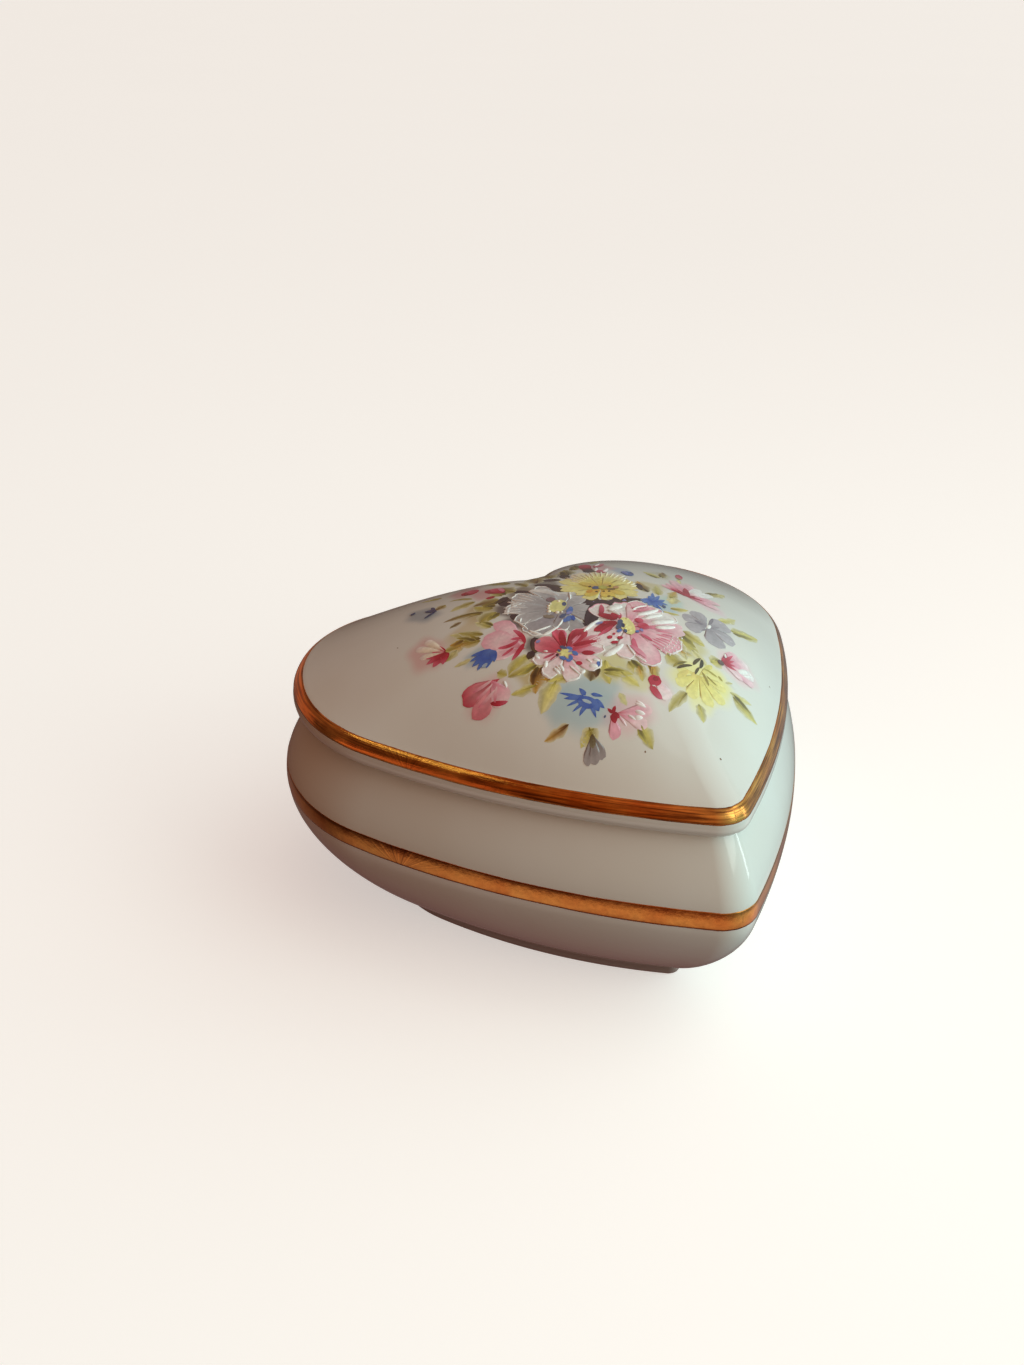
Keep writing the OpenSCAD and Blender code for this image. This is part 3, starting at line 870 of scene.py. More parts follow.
# Leaves: foot x, y, angle, length, width, colour at the foot, colour at the tip, bend
LEAVES = [
    (-16.5, 10.6, 150, 6.6, 1.5, OLIVE, BROWN, 40), (-20.3, 11.4, 185, 2.2, 1.1, BROWN, OLIVE_DARK, 20),
    (-14.4, 11, 120, 3.6, 3, OLIVE, MOSS, -30), (-14.6, 9.4, 200, 3.8, 3, MOSS, OLIVE, 30),
    (-12, 13, 160, 4.4, 2.6, OLIVE, BROWN, 30), (-11, 14.4, 90, 3.4, 2.8, OLIVE, MOSS, 20),
    (-8.4, 14.2, 100, 4.4, 2.6, OLIVE, BROWN, -20), (-5.6, 15, 100, 3.6, 1.8, OLIVE, OLIVE_DARK, 30),
    (-19.4, 4.6, 125, 4.6, 1.6, OLIVE, MOSS, -20), (-20.6, 4, 120, 5.6, 1.9, OLIVE, LEAF_PALE, 15),
    (-17.6, 5.4, 110, 3.6, 1.8, MOSS, LEAF_PALE, 20), (-20.6, 3.4, 150, 4.2, 2.4, OLIVE, OCHRE, 20),
    (-22.8, 5.2, 160, 3.2, 2.8, OCHRE, MOSS, -40), (-24.4, 4.6, 200, 2.6, 1.6, LEAF_PALE, MOSS, 0),
    (-23.6, 0.8, 165, 2.8, 0.9, LEAF_PALE, LEAF_PALE, -20), (-19, 20.9, 190, 2.2, 2, OLIVE, BROWN, 0),
    (-15, 18, 130, 4.4, 0.9, OLIVE, OLIVE, 40), (-15.2, 16.4, 175, 4.4, 1.9, OLIVE, LEAF_PALE, 20),
    (-21.8, -5, 300, 1.8, 1.5, MOSS, MOSS, 0), (-16.2, -5.4, 200, 4.4, 2.2, LEAF_YELLOW, MOSS, 30),
    (-16, -7.6, 172, 4.6, 1.8, LEAF_YELLOW, OLIVE, -30), (-15.6, -9, 230, 4.4, 2.6, BROWN, OCHRE, 30),
    (-15.8, -12, 120, 3.2, 2.2, OCHRE, BROWN, -20), (-18, -11.4, 160, 3.8, 1.4, MOSS, LEAF_YELLOW, -20),
    (-15, -12.6, 215, 5, 2.6, LEAF_YELLOW, LEAF_PALE, 10),
    (-13, -13.2, 160, 3.2, 1.6, MOSS, LEAF_YELLOW, 0), (-16.6, -19.5, 172, 3.8, 1.3, BROWN, OCHRE, -20),
    (-13.6, -22.2, 200, 2.8, 1.6, MOSS, LEAF_YELLOW, 30),
    (-14.2, -21.6, 250, 2.6, 2.4, OLIVE, LEAF_YELLOW, 0),
    (-8.6, -13.4, 230, 2.8, 2.4, BROWN, OLIVE_DARK, 0),
    (-6.4, -13.2, 250, 4.4, 2.6, LEAF_YELLOW, MOSS, 20), (-8, -15.4, 330, 4.4, 2, MOSS, LEAF_YELLOW, -20),
    (-5.4, -16.4, 290, 3.6, 1.8, LEAF_YELLOW, LEAF_YELLOW, 10),
    (-7.6, -19.6, 270, 2.2, 1, LEAF_PALE, LEAF_PALE, 0),
    (-3.2, -15, 280, 3.8, 2.4, OLIVE, LEAF_YELLOW, -10), (-2, -16.4, 250, 3, 1.6, OCHRE, LEAF_YELLOW, 0),
    (0.4, -16.6, 250, 3.6, 1.6, OCHRE, MOSS, 0), (4, -15.4, 300, 3.4, 2.8, MOSS, OLIVE, 40),
    (6.4, -15, 320, 2.4, 1.6, OCHRE, LEAF_PALE, 0), (8.6, -11.6, 285, 4.6, 3, MOSS, LEAF_YELLOW, 10),
    (10.2, -10.6, 300, 4.2, 2.6, OLIVE, LEAF_YELLOW, 20),
    (7.8, -11.6, 260, 5.4, 1.8, OLIVE, LEAF_PALE, 0),
    (9.2, -15.2, 280, 3.6, 1.4, LEAF_PALE, LEAF_PALE, 0),
    (7, -5.4, 350, 5.6, 1.4, OLIVE, LEAF_YELLOW, -50), (11.2, -18, 10, 2.6, 2.2, LEAF_YELLOW, OLIVE, 0),
    (3, -23.3, 205, 5, 1.6, OLIVE, MOSS, 20), (3.8, -25.4, 250, 2.9, 1.5, MOSS, LEAF_YELLOW, -10),
    (11.4, -23.4, 345, 3.8, 1.1, MOSS, LEAF_PALE, 20), (11.6, -24, 310, 4.2, 2.2, OLIVE, LEAF_YELLOW, 20),
    (11.6, -21.8, 5, 1.6, 0.5, LEAF_PALE, LEAF_PALE, 0),
    (-7.1, -25.4, 270, 3.4, 1.9, LEAF_YELLOW, MOSS, 0),
    (20.6, -7, 25, 6.2, 1.4, LEAF_YELLOW, LEAF_PALE, 20), (22, -9, 12, 7.2, 2, MOSS, LEAF_YELLOW, 20),
    (25.8, 3.4, 25, 6.4, 1.6, OLIVE, LEAF_PALE, 20), (20.2, 9.8, 55, 4.6, 1.6, OLIVE, BROWN, 0),
    (19.2, 9.4, 100, 4, 1.9, MOSS, LEAF_PALE, 0), (23.6, 9.6, 240, 3, 0.8, LEAF_PALE, LEAF_PALE, 0),
    (12.2, 2.6, 78, 5, 2.2, OLIVE_DARK, OCHRE, -10), (13.4, 1.2, 62, 4.4, 1.8, MOSS, LEAF_PALE, 0),
    (15, -0.2, 42, 3.8, 1.6, MOSS, OCHRE, 0), (12.4, -4, 350, 3.2, 1.4, OLIVE, LEAF_YELLOW, 10),
    (16.2, 0.4, 230, 3.4, 2, LEAF_PALE, LEAF_PALE, 0), (-3.4, 15.4, 70, 5, 3.4, BROWN, OLIVE, 10),
    (0.4, 16.4, 80, 5, 3, OLIVE, BROWN, -10), (3.6, 16, 70, 4.6, 2.6, OLIVE_DARK, OLIVE, 0),
    (6.4, 18.6, 60, 5.6, 2.2, OLIVE, BROWN, 20), (-6.6, 19.4, 110, 5.4, 2.2, OLIVE, MOSS, -20),
    (-2.6, 22.4, 95, 5, 2, MOSS, LEAF_PALE, 20), (3.4, 22.6, 70, 4.6, 2, OLIVE, LEAF_YELLOW, -20),
    (-17.6, 25.6, 130, 4, 1.4, MOSS, LEAF_PALE, 20), (12.6, 22.8, 40, 4.4, 1.4, MOSS, LEAF_PALE, -20)
]

# Dark ground between the flowers: x, y, angle, length, width
GROUND = [
    (-12.4, 10, 70, 4, 2.4), (-13.2, 6.6, 280, 4.4, 1.8), (-13.6, 4.6, 300, 3.6, 1.4),
    (-8.4, 14.6, 300, 4.8, 1.7), (-4.2, 14.8, 310, 5.6, 1.7), (-2.6, 12.4, 285, 4, 1.9),
    (-1.6, 16.4, 320, 3.4, 1.8), (2.8, 17, 260, 3, 1.8), (-0.6, 5, 320, 3.6, 2.6),
    (0.2, 4.6, 255, 4.8, 2.6), (-2.8, 0.8, 20, 3.4, 1.4), (3.4, 1.6, 350, 3.8, 2.2),
    (4.6, 0.6, 30, 3.2, 2), (6.6, 1, 340, 4, 1), (-2, 0, 235, 4, 1.3), (-4, -3.6, 195, 2.8, 1.6),
    (-6.8, -4.6, 60, 2.8, 1.8), (-13.4, -2.2, 245, 4, 1.6), (-15.2, -5, 220, 2, 1.4),
    (7.2, 17, 320, 2.6, 2.2), (-10.4, 13.2, 200, 3, 1.4), (12.6, 6.8, 250, 3.4, 1.2),
    (1, 2.6, 330, 3, 1.6)
]


def paint_ground(material):
    canvas = Canvas("flower_ground", lift=ENAMEL_LIFT, seed=11)
    canvas.blades_at(GROUND, [DUSK, (74, 58, 60), OLIVE_DARK], shape=(0.5, 0.6), streak=0.2)
    canvas.finish(material)


def paint_leaves(material):
    """Leaves in two tones with pale edges, some dark down one side, the wider ones with two dark strokes"""
    canvas = Canvas("flower_leaves", lift=ENAMEL_LIFT, seed=12)
    for x, y, angle, length, width, foot, tip, bend in LEAVES:
        canvas.lift = LEAF_LIFT + LEAF_PILE * canvas.rng.random()
        middle = tuple((a + b) / 2 for a, b in zip(foot, tip))
        canvas.blade((x, y), angle, length * LEAF_LONGER, width * LEAF_WIDER, [foot, middle, tip], bend=bend,
                     shape=(0.6, 0.85), streak=0.24, edge=LEAF_EDGE, ragged=0.22, edge_power=1.8)
        canvas.lift += 2 * LAYER
        dark = tuple(channel * LEAF_SHADE for channel in foot)
        if width > 1.4 and canvas.rng.random() < 0.5:
            side = canvas.rng.choice([-1, 1]) * width * 0.28
            beside = np.add((x, y), side * unit(angle + 90))
            canvas.blade(beside, angle, length * 0.8, width * 0.5, [OLIVE_DARK, dark, foot],
                         bend=bend,
                         shape=(0.6, 0.9), streak=0.3, edge=middle, ragged=0.3)
        if width > 1.2:
            for turn in canvas.rng.uniform(-16, 16, 2):
                canvas.blade((x, y), angle + turn, length * canvas.rng.uniform(0.35, 0.8), 0.30,
                             [dark, foot, middle], bend=bend * 0.7, shape=(0.5, 1.2))
    canvas.finish(material)


# ------------------------------------------------------------------ the four middle flowers

def light_yellow_petals(canvas, middle):
    """Raised white lines towards the tips of the far petals"""
    for angle in range(24, 122, 7):
        length = canvas.rng.uniform(2.4, 4.4)
        reach = 4.6 + 1.2 * math.sin(math.radians(angle) * 2) + canvas.rng.uniform(0, 0.8)
        foot = np.add(middle, unit(angle) * reach)
        tip = np.add(middle, unit(angle) * (reach + length))
        canvas.stroke(foot, tip, 0.5, [BUTTER, WHITE], relief=FINE_BEAD)
    for angle, reach, length in ((14, 5.2, 2.2), (4, 5.4, 2.0), (-4, 5.6, 1.8), (-12, 5.4, 1.8)):
        foot = np.add(middle, unit(angle) * reach)
        canvas.stroke(foot, np.add(foot, unit(angle + 25) * length), 0.45, [BUTTER, WHITE],
                      relief=FINE_BEAD)


def draw_yellow_centre(canvas, middle):
    for angle, length, width, colour in (
            (115, 4, 1.6, (206, 168, 96)), (200, 3.6, 1.8, (234, 178, 78)), (250, 3, 1.4, (226, 178, 82)),
            (305, 3.8, 1.8, (216, 176, 84)), (30, 2.8, 1.2, (212, 168, 110)),
            (275, 3.2, 1.2, (240, 200, 96))):
        canvas.blade(np.add(middle, unit(angle) * 0.8), angle, length, width, [colour, YELLOW])
    canvas.dabs([
        (4.2, 7.4, 1.6, 1.3, SLATE, 20), (5.4, 7, 1.8, 1.6, (196, 192, 92), 60),
        (6.3, 5.7, 1.7, 1, (132, 110, 60), -20), (7.6, 6.1, 1.4, 1, (196, 150, 104), 30),
        (2.4, 6.5, 1.6, 1.1, (232, 170, 66), 30), (4.3, 3.2, 0.8, 0.5, (160, 132, 56), 60)])
    for x, y in ((4.6, 5.4), (5.5, 5), (3.4, 5.8), (6.9, 7), (3.5, 8.3)):
        canvas.dab(x, y, 0.6, 0.5, OLIVE_DARK, 40)


def paint_yellow_flower(material):
    canvas = Canvas("yellow_flower", lift=0.022, seed=21)
    middle = (4.9, 6.6)
    petals = [(150, 7.6, 22), (118, 8.6, 22), (88, 9.6, 22), (62, 10.2, 20), (40, 9.4, 20), (14, 7.6, 20),
              (-12, 6.8, 22), (-42, 6.8, 24), (-72, 5.6, 22), (-108, 5.0, 24), (-150, 5.6, 24),
              (178, 5.4, 22)]
    for angle, length, spread in petals:
        pale = 20 < angle < 100
        stops = [OCHRE, YELLOW, LEMON, CREAM if pale else BUTTER]
        canvas.fan(middle, angle, length, spread, stops, ruffle=0.05, notch=0.06, streak=0.07,
                   edge=BUTTER if pale else YELLOW)
    light_yellow_petals(canvas, middle)
    draw_yellow_centre(canvas, middle)
    canvas.finish(material)


def light_grey_petals(canvas, middle):
    """Raised white lines along the edges that catch the light"""
    for angle in range(96, 156, 6):
        reach = canvas.rng.uniform(5.6, 7.6)
        foot = np.add(middle, unit(angle) * reach)
        tip = np.add(middle, unit(angle) * canvas.rng.uniform(9.6, 10.8))
        canvas.stroke(foot, tip, 0.6, [PALE_GREY, WHITE], relief=FINE_BEAD)
    canvas.strokes([
        (-6.2, 13, -3.3, 7.2, 1.9, 50), (-4.6, 12.6, -3.2, 8.4, 0.9, 20), (-13.6, 7, -11.6, 9.4, 0.9, 40),
        (-12.4, 8.6, -9.4, 8.8, 0.8, 30)], [WHITE, PALE_GREY], relief=FINE_BEAD)
    canvas.strokes([
        (-13.6, 3, -13.3, 0.2, 0.55, 10), (-13.3, 0.2, -11.8, -2.5, 0.75, -30),
        (-12.2, -2.6, -8.4, -1.7, 0.8, -25), (-8.8, -1.9, -6.9, -0.2, 0.5, -20),
        (-13.2, -0.8, -9.4, -1, 0.45, -15), (-2.2, 5.4, -0.9, 8.2, 0.5, -10),
        (-13.2, 3.2, -12.3, 4.2, 0.45, 30)], WHITE, relief=BEAD)


def draw_grey_centre(canvas):
    canvas.dabs([
        (-5.2, 7, 1.8, 1.6, (138, 112, 118), 60), (-8.5, 1.7, 2.2, 1.2, (150, 136, 120), -50)])
    canvas.blade((-7.0, 2.4), 48, 4.8, 3.0, [LEMON, (226, 222, 150), LEMON], shape=(0.4, 0.4))
    canvas.dabs([
        (-4.1, 4.2, 1.7, 0.8, SLATE, 60), (-4.5, 1.6, 2.2, 1.1, BLUE, 50),
        (-6.4, 0.6, 1.8, 0.9, SLATE, 30), (-6, -0.7, 2.2, 1.1, BLUE, 40),
        (-5.3, -0.9, 1.8, 0.8, ROYAL, 70), (-5, 0.9, 1.4, 0.8, PERIWINKLE, 20),
        (-3.9, 2.2, 1.3, 0.7, BLUE, 70), (-6.9, -0.9, 1.3, 0.6, BLUE, 60)])
    for x, y, size in (
            (-7.6, 3.3, 0.9), (-7.2, 4.2, 0.7), (-6.7, 5, 0.7), (-6.6, 2.2, 0.9), (-4.4, 5.6, 0.7),
            (-6.1, 5.5, 0.5), (-5.9, 1.9, 0.5)):
        canvas.dab(x, y, size, size, CREAM, relief=BEAD)


def paint_grey_flower(material):
    canvas = Canvas("grey_flower", lift=0.034, seed=22)
    middle = (-5.4, 2.8)
    petals = [
        (24, 6.2, 26, [LILAC_GREY, GREY, PALE_GREY]), (60, 6.0, 22, [LILAC_GREY, GREY, PALE_GREY]),
        (-58, 7.0, 24, [LILAC_GREY, GREY, GREY]), (-18, 5.6, 28, [LILAC_GREY, GREY, PALE_GREY]),
        (-98, 8.2, 20, [LILAC_GREY, GREY, GREY]), (84, 10.8, 16, [(140, 128, 134), GREY, PALE_GREY]),
        (112, 10.8, 18, [(140, 128, 132), GREY, PALE_GREY]),
        (140, 10.0, 21, [(146, 136, 140), GREY, PALE_GREY]),
        (205, 9.2, 31, [(140, 134, 138), LILAC_GREY, GREY]),
        (240, 7.0, 22, [(150, 144, 146), LILAC_GREY, GREY]),
        (172, 8.6, 21, [(140, 130, 134), GREY, PALE_GREY]),
    ]
    for angle, length, spread, stops in petals:
        canvas.fan(middle, angle, length, spread, stops, streak=0.05, edge=PALE_GREY,
                   rim=(0.45, WHITE) if 75 < angle < 250 else None)
    light_grey_petals(canvas, middle)
    draw_grey_centre(canvas)
    canvas.finish(material)


def lay_pink_petals(canvas, middle):
    white_rim = (0.4, WHITE)
    canvas.fan(middle, 100, 9.0, 27, [ROSE, PALE_PINK, BLUSH, WHITE], notch=0.05, edge=PALE_PINK,
               rim=(0.4, PINK))
    canvas.fan(middle, 24, 9.2, 24, [CRIMSON, PINK, PALE_PINK, PINK], edge=PINK, rim=white_rim)
    canvas.fan(middle, 66, 8.6, 22, [ROSE, PALE_PINK, WHITE, WHITE], notch=0.06, edge=WHITE,
               rim=(0.5, PINK))
    canvas.fan(middle, 46, 9.6, 19, [ROSE, PINK, PALE_PINK, PINK], edge=PALE_PINK, rim=white_rim)
    canvas.fan(middle, 338, 9.8, 24, [CRIMSON, ROSE, PINK, PALE_PINK], edge=PINK)
    canvas.fan(middle, 2, 9.8, 22, [CRIMSON, PINK, WHITE, WHITE], edge=BLUSH, rim=white_rim)
    canvas.fan(middle, 172, 8.4, 27, [ROSE, PALE_PINK, BLUSH, PALE_PINK], edge=BLUSH)
    canvas.fan(middle, 196, 8.4, 23, [PINK, PALE_PINK, BLUSH, BLUSH], edge=BLUSH)
    canvas.fan(middle, 236, 8.8, 20, [PINK, PALE_PINK, BLUSH, PALE_PINK], edge=BLUSH, rim=white_rim)
    canvas.fan(middle, 264, 10.4, 22, [ROSE, PINK, PALE_PINK, PINK], edge=PINK, rim=white_rim)
    canvas.fan(middle, 304, 9.8, 28, [ROSE, PINK, PALE_PINK, PINK], edge=PINK, rim=white_rim)


def feather_near_petal(canvas, middle):
    """Fine pink lines and rows of white beads on the petal nearest the front"""
    for angle in range(282, 328, 6):
        foot = np.add(middle, unit(angle) * canvas.rng.uniform(4.5, 6.0))
        canvas.stroke(foot, np.add(foot, unit(angle + 8) * 3.2), 0.45, [ROSE, PINK], sag=12)
    for angle in range(285, 327, 6):
        for reach in (7.6, 8.4, 9.1):
            x, y = np.add(middle, unit(angle + 2.4 * (reach - 8)) * reach)
            canvas.dab(x, y, 0.42, 0.3, WHITE, angle, relief=FINE_BEAD)


def draw_red_lines(canvas):
    """The red lines from the middle out, and the red spots on the left petal"""
    canvas.strokes([
        (1, -4.8, -1, -1.8, 1.7, -15, [DEEP_RED, DEEP_RED, CRIMSON]),
        (1, -4.6, 1.8, -2.4, 1.3, 10, [DEEP_RED, CRIMSON]),
        (-0.8, -2.4, 1.3, 1, 0.9, -20, [DEEP_RED, ROSE]), (1.6, -4.8, 2.6, -3.2, 0.6, 0, [CRIMSON, ROSE]),
        (0.6, -5.2, -4.4, -6.2, 2, 10, [DEEP_RED, DEEP_RED, CRIMSON]),
        (-0.6, -5.8, -3.6, -7.6, 1.5, -10, [DEEP_RED, CRIMSON]),
        (-0.4, -5, -2, -4.7, 1, 0, [DEEP_RED, CRIMSON]),
        (-0.6, -6.2, -4.6, -7.7, 0.7, 10, [CRIMSON, ROSE]),
        (3.6, -6.4, 5.2, -6.5, 1.6, 0, [CRIMSON, ROSE]),
        (3.7, -7.2, 4.6, -9.2, 1.9, 0, [ROSE, CRIMSON, ROSE]),
        (2.4, -10, 3.2, -12.4, 0.7, 15, [ROSE, (222, 96, 126)]),
        (0.6, -10.6, -0.6, -14.8, 0.9, -30, [(222, 110, 136), ROSE]),
        (-1, -12, -0.2, -15.8, 0.9, 30, [(222, 120, 146), PINK]),
        (5, -3.4, 8.6, -3.3, 0.8, -30, [ROSE, PINK]), (5.4, -2.2, 9, -2.3, 0.8, -40, [ROSE, PINK])])
    for x, y, length, width, angle in (
            (-2.9, -8.9, 1.1, 0.8, 20), (-1.4, -9.7, 1.1, 0.8, -20), (-2.9, -10.4, 1.3, 0.8, -15),
            (-1.8, -8.4, 0.7, 0.5, 40)):
        canvas.dab(x, y, length, width, CRIMSON, angle)


def draw_pink_centre(canvas):
    canvas.blade((0.7, -9.8), 72, 5.4, 2.4, [(226, 220, 150), LEMON, (248, 240, 170), LEMON],
                 shape=(0.5, 0.5))
    canvas.dabs([
        (1, -5.8, 1.9, 0.9, SLATE, 50), (0.1, -6.9, 1.9, 0.9, SLATE, 40), (-0.5, -8, 1.3, 0.7, BLUE, 20),
        (0.4, -8.4, 1.3, 0.6, SLATE, 70), (0.9, -6.9, 1.5, 0.6, (60, 70, 104), 60),
        (2.2, -9.3, 0.9, 0.6, BLUE, 20), (3.1, -9.2, 0.9, 0.6, PERIWINKLE, 70),
        (-2.3, -4.6, 1.5, 0.6, PERIWINKLE, 0)])
    for x, y in ((0.7, -7.9), (1.4, -7), (2.6, -5.4), (1.1, -8.7)):
        canvas.dab(x, y, 0.7, 0.6, LEMON, relief=FINE_BEAD)


def paint_pink_flower(material):
    canvas = Canvas("pink_flower", lift=0.05, seed=23)
    middle = (1.6, -7.2)
    canvas.dabs([
        (-1, 0.1, 1.9, 0.9, PERIWINKLE, 20), (0.2, 1.5, 3.4, 0.9, PERIWINKLE, 50),
        (5.4, -0.1, 3.2, 0.9, PERIWINKLE, 55)])
    canvas.blade((-4.4, -4.4), 48, 9.6, 2.6, [DUSK, (58, 44, 54), DUSK], shape=(0.5, 0.5), streak=0.2)
    canvas.blade((-1.0, 2.4), 340, 9.0, 1.8, [DUSK, (70, 56, 60), OLIVE_DARK], shape=(0.5, 0.6),
                 streak=0.2)
    lay_pink_petals(canvas, middle)
    feather_near_petal(canvas, middle)
    draw_red_lines(canvas)
    canvas.strokes([
        (-6, -5.6, -1.6, -3.7, 0.9, 18), (-6.2, -12.3, -1.6, -11, 1.3, -30),
        (-1.2, -11.4, -1.4, -14.6, 0.5, -16), (-1.5, -14.4, -0.3, -16.5, 0.5, -20),
        (5, -4.7, 10, -4, 1.1, -20), (5.2, -2.9, 8.8, -2.8, 0.5, 36), (1.4, -0.8, 4.6, -1.2, 1.9, 20),
        (1.2, -1, 2.4, -4, 0.6, 0), (5.6, -6.2, 9.6, -6, 1, 16), (6, -7.6, 10.6, -8, 1.6, 0),
        (5.8, -9, 9.8, -9.6, 1.1, -16)], WHITE, relief=BEAD)
    draw_pink_centre(canvas)
    canvas.finish(material)


def lay_crimson_petals(canvas, middle):
    """Pink petals in front, dark red ones behind"""
    canvas.fan(middle, 164, 5.4, 26, [ROSE, PINK, PALE_PINK, BLUSH], edge=PALE_PINK, rim=(0.4, WHITE))
    canvas.fan(middle, 206, 5.6, 28, [PINK, PALE_PINK, BLUSH, BLUSH], edge=BLUSH, rim=(0.5, WHITE))
    canvas.fan(middle, 254, 6.0, 26, [PINK, PINK, PALE_PINK, BLUSH], edge=PALE_PINK, rim=(0.5, WHITE))
    canvas.fan(middle, 302, 6.6, 27, [ROSE, PINK, PALE_PINK, BLUSH], edge=PINK, rim=(0.5, WHITE))
    faded = (210, 78, 98)
    canvas.fan(middle, 340, 6.6, 20, [CRIMSON, ROSE, PINK, PALE_PINK], rim=(0.4, WHITE))
    canvas.fan(middle, 4, 6.9, 21, [CRIMSON, faded, (220, 100, 118), PINK], streak=0.2)
    canvas.fan(middle, 34, 6.8, 24, [CRIMSON, faded, CRIMSON, faded], streak=0.22, rim=(0.25, PINK))
    canvas.fan(middle, 114, 5.8, 38, [CRIMSON, faded, (222, 104, 122), (234, 144, 156)], streak=0.18)
    canvas.fan(middle, 72, 6.6, 20, [DEEP_RED, CRIMSON, faded, ROSE], streak=0.22)


def draw_crimson_centre(canvas, middle):
    for angle in range(0, 360, 60):
        canvas.blade(middle, angle + 20, 1.5, 0.8, [LEMON, (226, 216, 150)], shape=(0.2, 0.9))
    canvas.dabs([
        (-11.8, -7.7, 0.8, 0.5, SLATE, 90), (-10.9, -7.4, 1.3, 0.7, SLATE, 110),
        (-10.1, -8.1, 1.2, 0.7, BLUE, 120), (-10.3, -8.8, 0.9, 0.5, PERIWINKLE, 0),
        (-9.9, -9.6, 1.4, 0.8, BLUE, 100), (-11, -10.1, 1.3, 0.7, BLUE, 70),
        (-11.6, -10.4, 0.9, 0.6, BLUE, 120), (-12.1, -9.5, 1.4, 0.7, BLUE, 120),
        (-12.5, -8.4, 0.7, 0.5, (70, 50, 60), 60), (-7.8, -13.5, 1.3, 0.6, BLUE, 60),
        (-13.5, -3.7, 0.9, 0.6, PERIWINKLE, 20)])


def paint_crimson_flower(material):
    canvas = Canvas("crimson_flower", lift=0.064, seed=24)
    middle = (-11.2, -8.6)
    lay_crimson_petals(canvas, middle)
    canvas.strokes([
        (-10.6, -7.4, -8.9, -3.3, 1.2, 12, [DEEP_RED, DEEP_RED, CRIMSON]),
        (-9.4, -7.9, -5.2, -8.8, 1, 12, [DEEP_RED, CRIMSON]),
        (-9, -10, -7, -11.2, 1.1, 0, [DEEP_RED, CRIMSON]),
        (-12.6, -7.8, -14.8, -7.7, 0.5, 0, [DEEP_RED, ROSE]),
        (-12.8, -8.4, -14.2, -8.7, 0.3, 0, [DEEP_RED, ROSE]),
        (-9.2, -7.4, -6.6, -6, 0.4, 0, [PINK, ROSE]),
        (-9, -6.9, -7.2, -5.9, 0.3, 0, [PINK, ROSE])])
    canvas.dab(-10.4, -11.8, 1.2, 0.8, CRIMSON, -50)
    canvas.strokes([
        (-15.6, -6.2, -15.2, -7.4, 0.8, 0), (-15.4, -9.6, -14.4, -8.3, 0.9, 20),
        (-14.3, -10.2, -13.9, -12, 0.7, -20), (-13.2, -10.2, -13.3, -12, 0.8, 0),
        (-13.8, -10.1, -13.6, -11.6, 0.4, 0), (-12, -11.2, -11.3, -14, 0.5, -10),
        (-11.4, -13.6, -10.2, -13.3, 0.7, -40), (-9.4, -12.9, -8, -14.1, 1.1, 10),
        (-9, -11.6, -8.6, -12.8, 0.5, 0), (-8.2, -12.1, -7.2, -13.2, 0.8, 0),
        (-14, -6.2, -13.3, -6.8, 0.4, 0)], WHITE, relief=BEAD)
    draw_crimson_centre(canvas, middle)
    canvas.finish(material)


# ------------------------------------------------------------------ buds and small flowers

def draw_rose_bud(canvas):
    canvas.fan((-15.4, -2.4), 94, 8.6, 20, [ROSE, PALE_PINK, PINK], edge=PINK)
    canvas.fan((-16.0, -3.8), 116, 8.4, 31, [CRIMSON, PINK, PALE_PINK, PINK], edge=PINK)
    canvas.fan((-15.8, -3.8), 156, 5.6, 25, [CRIMSON, PINK, PALE_PINK], edge=PALE_PINK)
    canvas.strokes([
        (-19.4, -0.4, -15.2, -0.6, 0.9, -80, [ROSE, CRIMSON, ROSE]),
        (-15.2, 2, -15.6, -2.8, 0.9, 40, [ROSE, CRIMSON, CRIMSON]),
        (-15.4, -2.4, -19, -4.6, 0.9, 15, [CRIMSON, CRIMSON, ROSE]),
        (-16.8, 0, -15, -1.2, 0.7, 10, [ROSE, CRIMSON]),
        (-17.2, -2.2, -19.8, -2.6, 0.6, 10, [CRIMSON, ROSE])])


def draw_cream_bud(canvas):
    base = (-26.0, 5.8)
    canvas.blades(base, [
        (120, 6.4, 1.5), (100, 6.2, 1.4), (145, 4.6, 1.3)],
        [ROSE, CREAM, CREAM, BLUSH], shape=(1.2, 0.35), relief=FINE_BEAD)
    canvas.blades(base, [
        (205, 3.4, 1.8), (178, 3.6, 1.5), (155, 3.4, 1.3), (235, 2.8, 1.6), (130, 2.6, 1),
        (95, 2.6, 0.6)], [DEEP_RED, CRIMSON, ROSE], shape=(0.35, 0.7), streak=0.14)


def draw_red_bud(canvas):
    canvas.fan((-22.0, -6.4), 170, 6.4, 30, [CRIMSON, (222, 116, 130), (228, 138, 148), (204, 70, 92)],
               streak=0.2, edge=(226, 130, 142))
    canvas.fan((-22.6, -6.2), 212, 6.0, 30, [ROSE, (234, 156, 166), (222, 122, 136)], streak=0.2,
               edge=(238, 176, 182))
    canvas.fan((-23.2, -5.6), 268, 5.0, 36, [ROSE, PINK, PALE_PINK], edge=PINK)
    canvas.stroke((-25.0, -8.8), (-22.6, -10.6), 0.8, [DEEP_RED, CRIMSON, ROSE], sag=-30)
    canvas.strokes([
        (-26.6, -6.6, -23.2, -6.2, 0.5, -30), (-26.4, -5.2, -23, -5.6, 0.6, -20),
        (-26.8, -8, -23.4, -7.4, 0.6, -24), (-24.4, -9.4, -22.8, -7.2, 0.5, 20)], [ROSE, PALE_PINK])
    canvas.stroke((-21.7, -7.1), (-21.9, -8.7), 0.5, WHITE, relief=FINE_BEAD)


